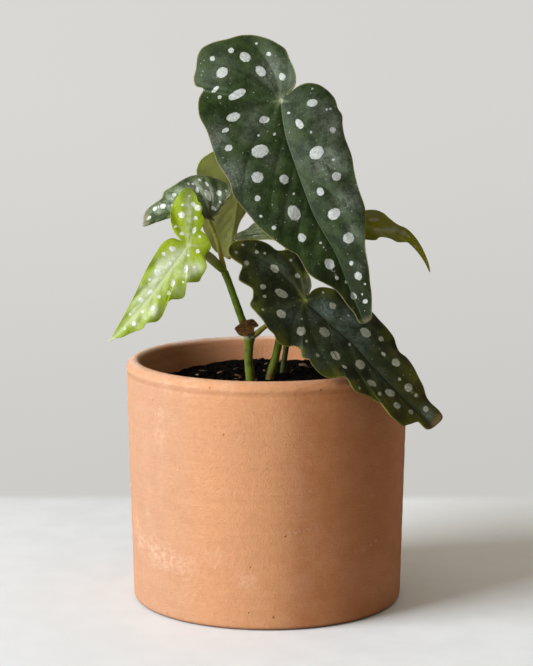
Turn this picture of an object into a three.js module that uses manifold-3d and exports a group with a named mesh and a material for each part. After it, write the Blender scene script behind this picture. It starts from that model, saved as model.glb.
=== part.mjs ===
// Potted polka dot begonia: a young cane begonia with seven angel-wing leaves in a plain terracotta cylinder.
// Millimetres, +Z up. The origin is the centre of the pot's base, on the surface that it stands on, and -Y is
// the plant's front.
import * as THREE from "three";
import { mergeVertices } from "three/addons/utils/BufferGeometryUtils.js";
import Module from "manifold-3d";

const wasm = await Module();
wasm.setup();

// ---- Driving dimensions ----

const FIT = 0.3; // clearance between pieces that touch

const POT_HEIGHT = 117;
const POT_RIM_RADIUS = 67.5; // outer, at the top
const POT_BASE_RADIUS = 64.7; // outer, at the bottom
const POT_WALL = 6.5;
const POT_FLOOR = 9;
const LIP_ROUND = 4.2; // radius of the lip's outer edge; its inner edge takes the rest of the wall
const FOOT_ROUND = 2.6; // radius of the rounded bottom edge
const POT_SIDES = 64;
const ROUND_SIDES = 16; // of the small holes
const DRAIN_HOLES = 3;
const DRAIN_RADIUS = 4.5;
const DRAIN_CIRCLE = 22; // the holes stand round the solid centre of the base
const FLOOR_FILLET = 4; // where the inner wall meets the floor

const SOIL_LEVEL = 106.5;
const SOIL_BASE = POT_FLOOR + FLOOR_FILLET + 0.5; // the mix stops just above the fillet
const SOIL_RINGS = 9;
const CRUMB = 1.3; // height of the soil's lumps
const ROOT_DEPTH = 12; // how deep the canes stand in the soil
const ROUNDING = 0.25; // room for the flats of a round piece with few sides

const LIMB_STEP = 3.4; // spacing of the rings along a stem
const STEM_SIDES = 10;
const PETIOLE_SIDES = 8;

const BLADE = 0.9; // thickness of a leaf
const BLADE_RINGS = [0.07, 0.22, 0.42, 0.62, 0.79, 0.91, 1];
const CREASE_WIDTH = 1.2; // how sharply a blade steps down at a crease
const EDGE_ON = 0.5; // a blade turned further away than this has its relief along its own facing
const FRONT = new THREE.Vector3(0, -1100, 310); // a blade's relief rises and falls on the lines to this point

const COLOURS = {
  terracotta: 0xc98259,
  soil: 0x17130f,
  stem: 0x5d7a2c,
  dried: 0x6a4a22,
  leafDark: 0x2f4a2c,
  leafYoung: 0x9fc22e,
  leafBack: 0x6f7a38,
};

// ---- Solids and meshes ----

function solidFrom(geometry) {
  const plain = geometry.clone();
  plain.deleteAttribute("normal");
  plain.deleteAttribute("uv");
  const merged = mergeVertices(plain, 1e-4);
  return new wasm.Manifold(
    new wasm.Mesh({
      numProp: 3,
      vertProperties: merged.attributes.position.array,
      triVerts: new Uint32Array(merged.index.array),
    }),
  );
}

function geometryFrom(solid) {
  const mesh = solid.getMesh();
  return closedGeometry(mesh.vertProperties, mesh.triVerts);
}

function closedGeometry(positions, triangles) {
  const geometry = new THREE.BufferGeometry();
  geometry.setAttribute("position", new THREE.BufferAttribute(new Float32Array(positions), 3));
  geometry.setIndex(new THREE.BufferAttribute(new Uint32Array(triangles), 1));
  geometry.computeVertexNormals();
  return geometry;
}

function joined(geometries) {
  return geometries.map(solidFrom).reduce((whole, piece) => whole.add(piece));
}

function part(name, geometry, color, roughness) {
  const material = new THREE.MeshStandardMaterial({ color, roughness, metalness: 0 });
  const mesh = new THREE.Mesh(geometry, material);
  mesh.name = name;
  return mesh;
}

// A profile of [radius, height] turned about the Z axis.
function turned(profile, sides) {
  const points = profile.map(([radius, height]) => new THREE.Vector2(radius, height));
  return new THREE.LatheGeometry(points, sides).rotateX(Math.PI / 2);
}

function upright(radius, bottom, top, x, y) {
  return new THREE.CylinderGeometry(radius, radius, top - bottom, ROUND_SIDES)
    .rotateX(Math.PI / 2)
    .translate(x, y, (bottom + top) / 2);
}

// Points of an arc about [radius, height], from one angle to another, both ends included.
function arc(radius, height, size, fromDegrees, toDegrees, steps) {
  return Array.from({ length: steps + 1 }, (_, i) => {
    const angle = THREE.MathUtils.degToRad(fromDegrees + ((toDegrees - fromDegrees) * i) / steps);
    return [radius + size * Math.cos(angle), height + size * Math.sin(angle)];
  });
}

// ---- Pot ----

const lipCentre = POT_RIM_RADIUS - LIP_ROUND;
const lipInside = POT_WALL - LIP_ROUND;
const innerTop = POT_RIM_RADIUS - POT_WALL;
const innerBase = POT_BASE_RADIUS - POT_WALL;

function innerRadius(height) {
  return innerBase + ((innerTop - innerBase) * height) / POT_HEIGHT;
}

function pot() {
  const foot = POT_BASE_RADIUS - FOOT_ROUND;
  const profile = [
    [0, 0],
    ...arc(foot, FOOT_ROUND, FOOT_ROUND, -90, 0, 4),
    ...arc(lipCentre, POT_HEIGHT - LIP_ROUND, LIP_ROUND, 0, 75, 5),
    ...arc(lipCentre, POT_HEIGHT - lipInside, lipInside, 90, 180, 4),
    [innerRadius(POT_FLOOR + FLOOR_FILLET), POT_FLOOR + FLOOR_FILLET],
    [innerRadius(POT_FLOOR) - FLOOR_FILLET, POT_FLOOR],
    [0, POT_FLOOR],
  ];
  let body = solidFrom(turned(profile, POT_SIDES));
  for (let i = 0; i < DRAIN_HOLES; i += 1) {
    const angle = (2 * Math.PI * (i + 0.25)) / DRAIN_HOLES;
    const x = DRAIN_CIRCLE * Math.cos(angle);
    const y = DRAIN_CIRCLE * Math.sin(angle);
    body = body.subtract(solidFrom(upright(DRAIN_RADIUS, -FIT, POT_FLOOR + FIT, x, y)));
  }
  return part("pot", geometryFrom(body), COLOURS.terracotta, 0.9);
}

// ---- Canes and petioles ----
// A route is a list of [x, y, z, radius]. Its points are the places where the stem bends or swells.

const CANE_LEFT = {
  stem: [
    [-8.1, -1, SOIL_LEVEL - ROOT_DEPTH, 2.2],
    [-8.1, -1.2, 107, 2.25],
    [-8.9, -2, 117, 2.1],
    [-8.6, -2.8, 124, 2.2],
    [-8.6, -3, 127.5, 2.9],
    [-9.8, -3, 131.8, 2.1],
    [-14.8, -4, 146.5, 1.75],
    [-18.6, -4, 155, 1.7],
    [-20.7, -4, 160, 2],
  ],
  petioles: [
    // to the small dark leaf on the left
    [
      [-20.2, -4, 158.8, 1.5],
      [-22.4, -4, 166.7, 1.15],
      [-24.7, -3, 174.2, 1],
      [-27.5, -0.8, 179.6, 1],
      [-28.7, 0.5, 182.2, 0.95],
      [-28, -1.1, 183.8, 0.8],
    ],
    // to the young leaf, wrapped in its sheath
    [
      [-20.3, -4, 159, 1.5],
      [-22.6, -4.9, 161.6, 1.9],
      [-26, -6.2, 165.2, 2.3],
      [-29.4, -8, 168.4, 2],
      [-33.5, -9.6, 171.2, 1.3],
      [-36.4, -10.6, 172.4, 1.05],
      [-36.8, -12.9, 172.9, 0.9],
    ],
    // to the big lower leaf
    [
      [-8.4, -3, 127.4, 1.9],
      [-5.3, -6, 129.4, 1.5],
      [-2.4, -12, 132.8, 1.25],
      [6.1, -28, 141.5, 1.2],
      [14, -38.4, 146.8, 1.2],
      [17, -43.1, 150.4, 1],
    ],
  ],
};

const CANE_MAIN = {
  stem: [
    [1.2, 2, SOIL_LEVEL - ROOT_DEPTH, 2],
    [1.4, 2, 107, 2.1],
    [4.3, 2, 117.5, 1.9],
    [6.7, 1.2, 130.2, 1.85],
    [8.3, 0, 147, 1.8],
    [9, -0.5, 152, 2.5],
    [9.5, -1.2, 156, 1.8],
    [10, -3.6, 169, 1.7],
    [10.2, -5, 180, 1.7],
    [10.2, -5.6, 184, 2.3],
    [10, -6.2, 188, 1.6],
    [9.4, -8, 200, 1.5],
    [9, -9, 206, 2.1],
    [8.6, -10, 211, 1.5],
    [7.8, -13.5, 222, 1.35],
    [7.1, -17.8, 232, 1.3],
    [6.7, -21.4, 239, 1.3],
    [6.5, -25, 241.1, 1.1],
  ],
  petioles: [
    // to the back right leaf
    [
      [9, -0.5, 152.4, 1.6],
      [15, 1.4, 160, 1.2],
      [24, 3.4, 167, 1.1],
      [33.5, 7.2, 172.6, 1.1],
      [37.6, 9.8, 175.8, 1],
      [37.6, 11.4, 178.6, 0.9],
    ],
    // to the back left leaf
    [
      [10.2, -5.6, 184.4, 1.5],
      [4, 0, 189, 1.1],
      [-5, 12, 193.8, 1],
      [-11.4, 24.4, 196, 1],
      [-13, 30, 198, 0.9],
    ],
  ],
};

const SHOOT_BACK = {
  stem: [
    [7.6, 18, SOIL_LEVEL - ROOT_DEPTH, 1.5],
    [7.8, 18, 107, 1.5],
    [9.2, 17.2, 118, 1.35],
    [10, 17, 124, 1.7],
    [10.8, 16.8, 128, 1.25],
    [13, 16.8, 145, 1.15],
    [15.2, 17, 160, 1.05],
    [16.3, 17.3, 169.5, 1.05],
    [16, 16.3, 174.2, 0.95],
  ],
  petioles: [],
};

// A round bar along a route.
function limb(route, sides) {
  const curve = new THREE.CatmullRomCurve3(
    route.map(([x, y, z]) => new THREE.Vector3(x, y, z)),
    false,
    "centripetal",
  );
  const rings = Math.max(route.length, Math.round(curve.getLength() / LIMB_STEP));
  const frames = curve.computeFrenetFrames(rings, false);
  const positions = [];
  for (let i = 0; i <= rings; i += 1) {
    const share = curve.getUtoTmapping(i / rings);
    const centre = curve.getPoint(share);
    const radius = radiusAt(route, share);
    for (let k = 0; k < sides; k += 1) {
      const angle = (2 * Math.PI * k) / sides;
      const point = centre
        .clone()
        .addScaledVector(frames.normals[i], radius * Math.cos(angle))
        .addScaledVector(frames.binormals[i], radius * Math.sin(angle));
      positions.push(point.x, point.y, point.z);
    }
  }
  const triangles = [];
  for (let i = 0; i < rings; i += 1) {
    for (let k = 0; k < sides; k += 1) {
      const next = (k + 1) % sides;
      const [a, b] = [i * sides + k, i * sides + next];
      triangles.push(a, b, b + sides, a, b + sides, a + sides);
    }
  }
  const last = rings * sides;
  for (let k = 1; k < sides - 1; k += 1) {
    triangles.push(0, k + 1, k, last, last + k, last + k + 1);
  }
  return closedGeometry(positions, triangles);
}

function radiusAt(route, share) {
  const place = share * (route.length - 1);
  const before = Math.min(Math.floor(place), route.length - 2);
  const blend = THREE.MathUtils.smoothstep(place - before, 0, 1);
  return THREE.MathUtils.lerp(route[before][3], route[before + 1][3], blend);
}

function cane(name, { stem, petioles }) {
  const body = joined([limb(stem, STEM_SIDES), ...petioles.map((route) => limb(route, PETIOLE_SIDES))]);
  return part(name, geometryFrom(body), COLOURS.stem, 0.6);
}

// ---- Soil ----

// Lumps of the potting mix: a few crossing waves, from 0 to 1.
function crumbs(x, y) {
  const coarse = Math.sin(x * 0.31 + 1.7 * Math.sin(y * 0.17)) * Math.cos(y * 0.27 + x * 0.09);
  const fine = Math.sin(x * 0.83 + y * 0.41) * Math.sin(y * 0.77 - x * 0.36 + 1);
  return 0.5 + 0.3 * coarse + 0.2 * fine;
}

function soil() {
  const edge = innerRadius(SOIL_LEVEL) - FIT - ROUNDING;
  const foot = innerRadius(SOIL_BASE) - FIT - ROUNDING;
  const positions = [0, 0, SOIL_LEVEL - CRUMB * crumbs(0, 0)];
  const triangles = [];
  const ringStart = (ring) => 1 + ring * POT_SIDES;
  for (let ring = 0; ring <= SOIL_RINGS; ring += 1) {
    const onTop = ring < SOIL_RINGS;
    const radius = onTop ? (edge * (ring + 1)) / SOIL_RINGS : foot;
    for (let k = 0; k < POT_SIDES; k += 1) {
      const angle = (2 * Math.PI * k) / POT_SIDES;
      const x = radius * Math.cos(angle);
      const y = radius * Math.sin(angle);
      positions.push(x, y, onTop ? SOIL_LEVEL - CRUMB * crumbs(x, y) : SOIL_BASE);
    }
  }
  const centreBelow = positions.length / 3;
  positions.push(0, 0, SOIL_BASE);
  for (let k = 0; k < POT_SIDES; k += 1) {
    const next = (k + 1) % POT_SIDES;
    triangles.push(0, ringStart(0) + k, ringStart(0) + next);
    for (let ring = 0; ring < SOIL_RINGS; ring += 1) {
      const [a, b] = [ringStart(ring) + k, ringStart(ring) + next];
      triangles.push(a, a + POT_SIDES, b + POT_SIDES, a, b + POT_SIDES, b);
    }
    triangles.push(centreBelow, ringStart(SOIL_RINGS) + next, ringStart(SOIL_RINGS) + k);
  }
  let body = solidFrom(closedGeometry(positions, triangles));
  for (const { stem } of [CANE_LEFT, CANE_MAIN, SHOOT_BACK]) {
    const [x, y, z, radius] = stem[0];
    const [topX, topY] = stem[1];
    const room = radius + FIT + Math.hypot(topX - x, topY - y) + ROUNDING;
    const hole = upright(room, z - FIT, SOIL_LEVEL + CRUMB, (x + topX) / 2, (y + topY) / 2);
    body = body.subtract(solidFrom(hole));
  }
  return part("soil", geometryFrom(body), COLOURS.soil, 1);
}

// ---- Leaves ----
// at: where the petiole joins the blade. tip: the blade's point. bulge: how far the middle of the midrib
// stands off the straight line between them. facing: the way the upper face looks. cup: how far the two
// margins fall below the midrib, on the edge's negative and positive side. crest: how far the two halves
// arch up on the way. frill: [waves, height] of the margin. folds: creases from the petiole to a notch.
// edge: the outline as [along the midrib, across it], from the notch at the petiole round to the notch.

const LEAVES = [
  {
    name: "leaf_top",
    color: COLOURS.leafDark,
    at: [6.4, -26, 241.6],
    tip: [47, -54, 142.4],
    bulge: [0, -5, 0.6],
    facing: [0, -1, 0.3],
    cup: [8, 7],
    crest: 2.4,
    frill: [11, 0.9],
    folds: [{ to: [-19.5, -31], step: 4, spread: 16 }],
    edge: [
      [-1.8, 3.8], [-3.2, 8], [-3.7, 13.6], [-1.4, 18.3], [2.6, 21.4], [8.3, 23.4], [13, 23], [16.8, 23.6],
      [20.7, 22.2], [26, 21], [36.6, 20.5], [42.3, 19.2], [50, 18], [61.6, 17.1], [66.7, 15.4], [71.8, 13.2],
      [77.4, 10.9], [87.6, 8.6], [93.3, 6.9], [100, 5.2], [106, 2.9], [109.8, 1.2], [110.7, -1], [110, -4.4],
      [104.6, -5.2], [100, -6.7], [93.3, -8.4], [89.9, -10.1], [86.5, -12.9], [82.5, -16.3], [78.6, -18.3],
      [74, -18.8], [69.5, -19.7], [66, -22.6], [61.6, -25.4], [57, -28.2], [51.4, -31.1], [45.7, -32.8],
      [38.9, -35], [33.2, -36.5], [27.6, -35.8], [21.9, -36.7], [16.2, -37.7], [8.3, -37.3], [0.3, -36.9],
      [-6.5, -37.6], [-10.4, -37], [-15.5, -34.8], [-19.5, -31.1], [-22, -33.9], [-25.4, -33.8],
      [-30, -31], [-35.6, -28.1], [-38.4, -25.1], [-39.2, -19], [-38.2, -11.8], [-37.6, -5.9], [-35.2, 0],
      [-31, 5.5], [-26.7, 8.9], [-22.9, 11.1], [-17.8, 11.1], [-12.7, 11.3], [-8.2, 10.6], [-4.6, 8.8],
      [-2.7, 5.4],
    ],
  },
  {
    name: "leaf_lower",
    color: COLOURS.leafDark,
    at: [17.4, -44, 151],
    tip: [79.9, -54, 96.8],
    bulge: [0.4, -2, 0.6],
    facing: [0.33, -0.78, 0.53],
    cup: [2.5, 4],
    crest: 2,
    frill: [12, 1],
    folds: [],
    edge: [
      [-0.9, 3.6], [-0.6, 7.2], [0.8, 10.7], [3.7, 13.6], [7.1, 15.4], [12.9, 16.4], [19.6, 17.4],
      [26.4, 19.2], [31.2, 18.5], [36, 18], [41.9, 16.5], [45.2, 14.1], [48.1, 12.7], [52.5, 12.9],
      [57.3, 11.7], [62.6, 9.3], [67, 7.3], [71.3, 4.2], [75.7, 3.3], [80, 3.3], [83, 2], [83.1, -2.8],
      [81.7, -7.6], [79.6, -9.1], [75.9, -8.4], [73.3, -12.5], [70.9, -16], [67, -16.5], [62.6, -17.5],
      [59.7, -14.4], [57, -14], [54.9, -15.9], [50.6, -16.3], [46.7, -18.3], [42.3, -19.5], [39.4, -16.7],
      [36, -17.5], [33.2, -21.2], [30.3, -23.6], [26.4, -24.4], [21.6, -23.6], [18.7, -22.5],
      [16.2, -24.1], [13.3, -21.6], [10.4, -21.8], [8, -24.6], [5, -26.2], [2.2, -26], [-0.2, -24.5],
      [-4.5, -24.1], [-8.4, -22.6], [-13.2, -21.7], [-17.6, -20.7], [-19.2, -16.3], [-21.9, -13.2],
      [-25.3, -13.6], [-29.2, -14.2], [-30.9, -11.5], [-32.6, -7.2], [-34.5, -6.7], [-36.9, -8],
      [-39.5, -7.6], [-42.2, -5.7], [-43.4, -2.3], [-42.7, 0.6], [-40.8, 3.5], [-37.9, 6.9], [-34, 9.8],
      [-29.7, 11.3], [-25.4, 11.6], [-22.8, 14.4], [-20, 17.4], [-14.5, 17.2], [-9.5, 13.6], [-5, 11.4],
      [-2.4, 8.6], [-1.5, 5.6],
    ],
  },
  {
    name: "leaf_young",
    color: COLOURS.leafYoung,
    at: [-36.9, -14, 173.2],
    tip: [-74.1, -26, 128.9],
    bulge: [0.2, -3, 0.4],
    facing: [-0.1, -1, 0.25],
    cup: [2, 3],
    crest: 1.4,
    frill: [13, 1.3],
    folds: [],
    edge: [
      [0.9, -3.6], [2.3, -8.2], [5, -9.8], [8.3, -10.2], [11.7, -9.8], [19.7, -8.7], [28.3, -6.5],
      [37, -4.3], [45.7, -2.5], [55, -0.9], [59.5, -0.2], [56.3, 1.3], [54, 3.3], [50.7, 4.8], [48, 6.3],
      [44.7, 8.1], [41.7, 7.9], [38, 11.1], [35, 11.8], [32.7, 11.5], [30.3, 9.8], [27.7, 9.5], [25.3, 10.1],
      [23.5, 12.2], [21.3, 13.8], [19.3, 13.7], [17.7, 12], [15.7, 10.7], [14.3, 10.9], [12.5, 13],
      [10.7, 14.7], [8, 14.3], [5.3, 14], [2.5, 13.1], [1, 11.3], [-0.9, 9.2], [-3.7, 9.4], [-6.3, 8.7],
      [-7.7, 6.3], [-9, 3.7], [-9.3, 1.3], [-9.4, -0.2], [-12.3, -0.7], [-14.5, -1.5], [-15.6, -3.3],
      [-16.5, -5], [-18.2, -5.8], [-19.5, -7.5], [-20, -10], [-21.3, -11.7], [-22.3, -14.3], [-22.2, -16.7],
      [-21, -18.3], [-19, -19.1], [-15.7, -19], [-12.3, -18.5], [-9, -17.5], [-5.7, -15.7], [-3, -13],
      [-1, -10.3], [0.2, -6.6],
    ],
  },
  {
    name: "leaf_left",
    color: COLOURS.leafDark,
    at: [-27.6, -2, 184.6],
    tip: [-58.9, -4, 181.5],
    bulge: [0, 0, 4],
    facing: [0, -0.75, 0.66],
    cup: [4, 3],
    crest: 1.2,
    frill: [7, 0.8],
    folds: [],
    edge: [
      [-1.6, -1.2], [-7, -7], [-7.6, -9.4], [-9.2, -12.9], [-11.4, -16.4], [-13.2, -19.2], [-14, -21.8],
      [-13.5, -25.5], [-12.5, -26.1], [-8.7, -26.3], [-4.9, -26], [-0.6, -25.4], [3.9, -23.7],
      [7.7, -21.7], [11.6, -19.1], [15.8, -16.2], [21.1, -13.3], [22.6, -10], [25.6, -8.8], [28.5, -8],
      [30.7, -6.8], [32, -4.6], [32.6, -1.4], [32.9, 0.8], [29.8, 2], [24.4, 2.4], [20.5, 2.2], [15, 2.4],
      [8, 2.8], [4, 2.2], [1.6, 0.9], [-0.4, 0.7], [-2.4, 1.2], [-4.6, 2.2], [-6.4, 1.2], [-3.2, 0.1],
    ],
  },
  {
    name: "leaf_back_left",
    color: COLOURS.leafBack,
    at: [-13.2, 31, 198.5],
    tip: [-19, 47, 158.5],
    bulge: [0, -1, 2],
    facing: [-0.2, 0.9, 0.3],
    cup: [2, 3],
    crest: 1,
    frill: [6, 0.8],
    folds: [],
    edge: [
      [-3, -0.9], [-11.1, -2.2], [-17.2, -2.4], [-20.8, 2], [-20.8, 8.1], [-17.2, 14.6], [-11.5, 21.3], [-6.1, 22.6],
      [-2.2, 21.7], [4.9, 19.9], [13.1, 18.4], [26.2, 15.9], [34, 11.8], [39.7, 7.6], [42.4, 2.6],
      [43.6, -0.6], [38.4, -2.2], [32.6, -2.4], [28.1, -2.6], [24, -3.4], [18.9, -5.5], [13.8, -6.5],
      [9.1, -8.1], [3, -9.7], [-4, -10.1], [-9.1, -8.1], [-9.7, -4.8],
    ],
  },
  {
    name: "leaf_back_right",
    color: COLOURS.leafBack,
    at: [37.5, 12, 179.6],
    tip: [78, 15, 155.4],
    bulge: [5.6, 0, 6.7],
    facing: [0.38, 0.59, 0.71],
    cup: [1.5, 2],
    crest: 0.8,
    frill: [6, 0.6],
    folds: [],
    edge: [
      [-3, -0.4], [-8, -4], [-10, -9.4], [-6.6, -14], [-3, -15.6], [0.5, -15.4], [3, -18], [6.2, -18.4],
      [10.5, -16.2], [15.7, -11.6], [21, -8.8], [25.6, -9.2], [32.3, -7.9], [38, -6.4], [42.9, -5],
      [47.8, -3.8], [51.2, -2.2], [46, -1.5], [38.9, -0.8], [31.8, -0.2], [30.9, 0.8], [27.5, 5.2],
      [23.3, 5.8], [19, 8.4], [18.4, 13], [14, 15.2], [7, 15.6], [0, 14.4], [-6, 11], [-9, 6], [-8, 1.4],
    ],
  },
  {
    name: "leaf_inner",
    color: COLOURS.leafDark,
    at: [15.9, 16, 175.3],
    tip: [-15.7, 12, 173.1],
    bulge: [0, 0, 1],
    facing: [-0.1, -0.25, 0.96],
    cup: [1, 0.5],
    crest: 0.6,
    frill: [6, 0.5],
    folds: [],
    edge: [
      [-3, -0.6], [-8.4, -5], [-10, -11], [-6, -17], [2, -20.4], [10, -21], [16.8, -19.3], [20.9, -14],
      [25.1, -8.8], [29.4, -5.6], [31.8, -2], [32.3, 1.9], [29.6, 5], [24, 5.8], [18, 8.4], [13.4, 12.2],
      [10, 14.8], [4, 16], [-3, 15], [-8, 10.6], [-8.6, 4.6],
    ],
  },
];

const DRIED_STIPULE = {
  name: "dried_stipule",
  color: COLOURS.dried,
  at: [-9.8, -6.9, 132.5],
  tip: [-4.1, -7.9, 133.9],
  bulge: [0, 0, 0],
  facing: [0, -1, 0.12],
  cup: [-1.4, -1],
  crest: 0.5,
  frill: [4, 0.5],
  folds: [],
  edge: [
    [-2.3, 2.7], [-1.9, 3.8], [1.1, 3.7], [4, 3.3], [5.1, 1.9], [5.9, -0.2], [3.8, -0.7], [3.2, -2.2],
    [0.9, -3.6], [-2.5, -3.6], [-4.3, -2.5], [-5.3, -0.4], [-5.7, 0.9], [-3.7, 2.2],
  ],
};

// Height of the blade above its midrib's plane. `rim` is 0 at the petiole and 1 on the margin, and `turn`
// goes from 0 to 1 round the margin.
function relief({ cup, crest, frill, folds, widest }, along, across, rim, turn) {
  const side = across < 0 ? 0 : 1;
  const out = Math.abs(across) / widest[side];
  const [waves, height] = frill;
  const arch = 4 * crest * out * (1 - out) - cup[side] * out * out;
  const wave = height * rim ** 3 * Math.sin(2 * Math.PI * waves * turn);
  return folds.reduce((sum, fold) => sum + creaseHeight(fold, along, across), arch + wave);
}

// A crease starts at the petiole and is deepest at the notch. Beyond it the blade is lower.
function creaseHeight({ to, step, spread }, along, across) {
  const far = Math.hypot(...to);
  const share = (along * to[0] + across * to[1]) / far ** 2;
  const off = (across * to[0] - along * to[1]) / far;
  if (share <= 0) return 0;
  const below = 0.5 + 0.5 * Math.tanh(off / CREASE_WIDTH);
  return -step * Math.min(share, 1.1) * below * Math.exp(-((off / spread) ** 2));
}

function bladeSurface(leaf) {
  const at = new THREE.Vector3(...leaf.at);
  const tip = new THREE.Vector3(...leaf.tip);
  const bulge = new THREE.Vector3(...leaf.bulge);
  const bend = at.clone().add(tip).multiplyScalar(0.5).addScaledVector(bulge, 2);
  const spine = new THREE.QuadraticBezierCurve3(at, bend, tip);
  const length = spine.getLength();
  const chord = tip.clone().sub(at).normalize();
  const facing = new THREE.Vector3(...leaf.facing);
  facing.addScaledVector(chord, -facing.dot(chord)).normalize();
  const side = facing.clone().cross(chord);
  const across = leaf.edge.map((point) => point[1]);
  const shape = { ...leaf, widest: [-Math.min(...across), Math.max(...across)] };
  return (u, v, rim, turn) => {
    const share = THREE.MathUtils.clamp(u / length, 0, 1);
    const point = spine
      .getPoint(share)
      .addScaledVector(spine.getTangent(share), u - share * length)
      .addScaledVector(side, v);
    const lift = FRONT.clone().sub(point).normalize();
    const towards = facing.dot(lift);
    const rise = relief(shape, u, v, rim, turn);
    return Math.abs(towards) > EDGE_ON
      ? point.addScaledVector(lift, rise / towards)
      : point.addScaledVector(facing, rise);
  };
}

// A thin blade: a sheet in rings about the petiole, thickened evenly, with both faces split alike.
function blade(leaf) {
  const surface = bladeSurface(leaf);
  const clockwise = THREE.ShapeUtils.area(leaf.edge.map(([x, y]) => new THREE.Vector2(x, y))) < 0;
  const edge = clockwise ? [...leaf.edge].reverse() : leaf.edge;
  const count = edge.length;
  const points = [surface(0, 0, 0, 0)];
  for (const rim of BLADE_RINGS) {
    edge.forEach(([u, v], k) => points.push(surface(u * rim, v * rim, rim, k / count)));
  }
  const triangles = [];
  for (let k = 0; k < count; k += 1) {
    const next = (k + 1) % count;
    triangles.push(0, 1 + k, 1 + next);
    for (let ring = 0; ring < BLADE_RINGS.length - 1; ring += 1) {
      const [a, b] = [1 + ring * count + k, 1 + ring * count + next];
      triangles.push(a, a + count, b + count, a, b + count, b);
    }
  }
  const geometry = thickened(points, triangles, BLADE, count);
  return part(leaf.name, geometry, leaf.color, 0.45);
}

// A sheet made into a closed body. The sheet's last `rimCount` points are its margin, in order.
function thickened(points, triangles, thickness, rimCount) {
  const sheet = closedGeometry(points.flatMap((p) => p.toArray()), triangles);
  const normals = sheet.getAttribute("normal");
  const face = (way) =>
    points.flatMap((p, i) => {
      const normal = new THREE.Vector3().fromBufferAttribute(normals, i);
      return p.clone().addScaledVector(normal, (way * thickness) / 2).toArray();
    });
  const under = points.length;
  const all = [...triangles];
  for (let i = 0; i < triangles.length; i += 3) {
    all.push(under + triangles[i], under + triangles[i + 2], under + triangles[i + 1]);
  }
  for (let k = 0; k < rimCount; k += 1) {
    const a = under - rimCount + k;
    const b = under - rimCount + ((k + 1) % rimCount);
    all.push(a, under + a, under + b, a, under + b, b);
  }
  return closedGeometry([...face(1), ...face(-1)], all);
}

// ---- The plant in its pot ----

const begonia = new THREE.Group();
begonia.add(pot(), soil());
begonia.add(cane("cane_left", CANE_LEFT), cane("cane_main", CANE_MAIN), cane("shoot_back", SHOOT_BACK));
begonia.add(blade(DRIED_STIPULE), ...LEAVES.map(blade));

export default begonia;
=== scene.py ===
"""The look of the potted polka dot begonia: leaves with their veins and spots, canes, potting mix and clay.

Lists of places are in millimetres, in the part's own frame. Blender's own values are in metres.
"""

import math

import bmesh
import bpy
import numpy as np
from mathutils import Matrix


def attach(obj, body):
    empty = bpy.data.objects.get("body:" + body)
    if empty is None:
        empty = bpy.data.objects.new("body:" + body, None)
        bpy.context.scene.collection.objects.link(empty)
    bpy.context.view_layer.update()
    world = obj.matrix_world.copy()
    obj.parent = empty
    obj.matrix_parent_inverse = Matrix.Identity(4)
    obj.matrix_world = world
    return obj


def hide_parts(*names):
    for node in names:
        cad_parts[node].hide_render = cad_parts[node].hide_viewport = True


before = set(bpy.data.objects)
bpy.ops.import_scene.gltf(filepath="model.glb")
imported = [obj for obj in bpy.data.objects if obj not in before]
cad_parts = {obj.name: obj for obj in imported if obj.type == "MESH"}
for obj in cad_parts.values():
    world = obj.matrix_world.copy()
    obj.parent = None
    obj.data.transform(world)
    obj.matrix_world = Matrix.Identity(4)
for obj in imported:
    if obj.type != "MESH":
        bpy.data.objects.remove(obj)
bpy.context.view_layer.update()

MM = 0.001
RANDOM = np.random.default_rng(11)


# ---- Meshes ----

def mesh_object(name, points, faces, attributes=None):
    """A smooth mesh from points in millimetres and arrays of faces with 3 or 4 corners each."""
    mesh = bpy.data.meshes.new(name)
    corners = np.concatenate([np.asarray(group).ravel() for group in faces])
    sizes = np.concatenate([np.full(len(group), np.shape(group)[1]) for group in faces])
    starts = np.concatenate([[0], np.cumsum(sizes)[:-1]])
    mesh.vertices.add(len(points))
    mesh.vertices.foreach_set("co", (np.asarray(points) * MM).astype(np.float32).ravel())
    mesh.loops.add(len(corners))
    mesh.loops.foreach_set("vertex_index", corners.astype(np.int32))
    mesh.polygons.add(len(sizes))
    mesh.polygons.foreach_set("loop_start", starts.astype(np.int32))
    mesh.update(calc_edges=True)
    mesh.polygons.foreach_set("use_smooth", np.ones(len(sizes), bool))
    for key, values in (attributes or {}).items():
        values = np.asarray(values, np.float32)
        kind, field = ("FLOAT", "value") if values.ndim == 1 else ("FLOAT_VECTOR", "vector")
        mesh.attributes.new(key, kind, "POINT").data.foreach_set(field, values.ravel())
    mesh.update()
    thing = bpy.data.objects.new(name, mesh)
    bpy.context.scene.collection.objects.link(thing)
    return thing


def piece(thing, material, slot, *nodes):
    """Dresses a mesh, sets it on the part's body and lets it stand for CAD nodes."""
    thing.data.materials.append(material)
    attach(thing, "root")
    if nodes:
        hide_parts(*nodes)
    return thing


def unit(vectors):
    return vectors / np.linalg.norm(vectors, axis=-1, keepdims=True)


def point_normals(points, triangles):
    a, b, c = (points[triangles[:, i]] for i in range(3))
    across = np.cross(b - a, c - a)
    total = np.zeros_like(points)
    for i in range(3):
        np.add.at(total, triangles[:, i], across)
    return unit(total)


def smooth(low, high, x):
    t = np.clip((x - low) / (high - low), 0, 1)
    return t * t * (3 - 2 * t)


def tube_faces(rings, sides):
    """Quads between rings of points, and the fans that close both ends round the last two points."""
    ring = np.arange(rings)[:, None] * sides + np.arange(sides)
    turned = np.roll(ring, -1, 1)
    quads = np.stack([ring[:-1], turned[:-1], turned[1:], ring[1:]], -1).reshape(-1, 4)
    foot = np.full(sides, rings * sides)
    closed = [np.stack([foot, turned[0], ring[0]], 1), np.stack([foot + 1, ring[-1], turned[-1]], 1)]
    return quads, np.vstack(closed)


# ---- Shader nodes ----

def scaled(colour, share):
    return tuple(share * channel for channel in colour)



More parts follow.
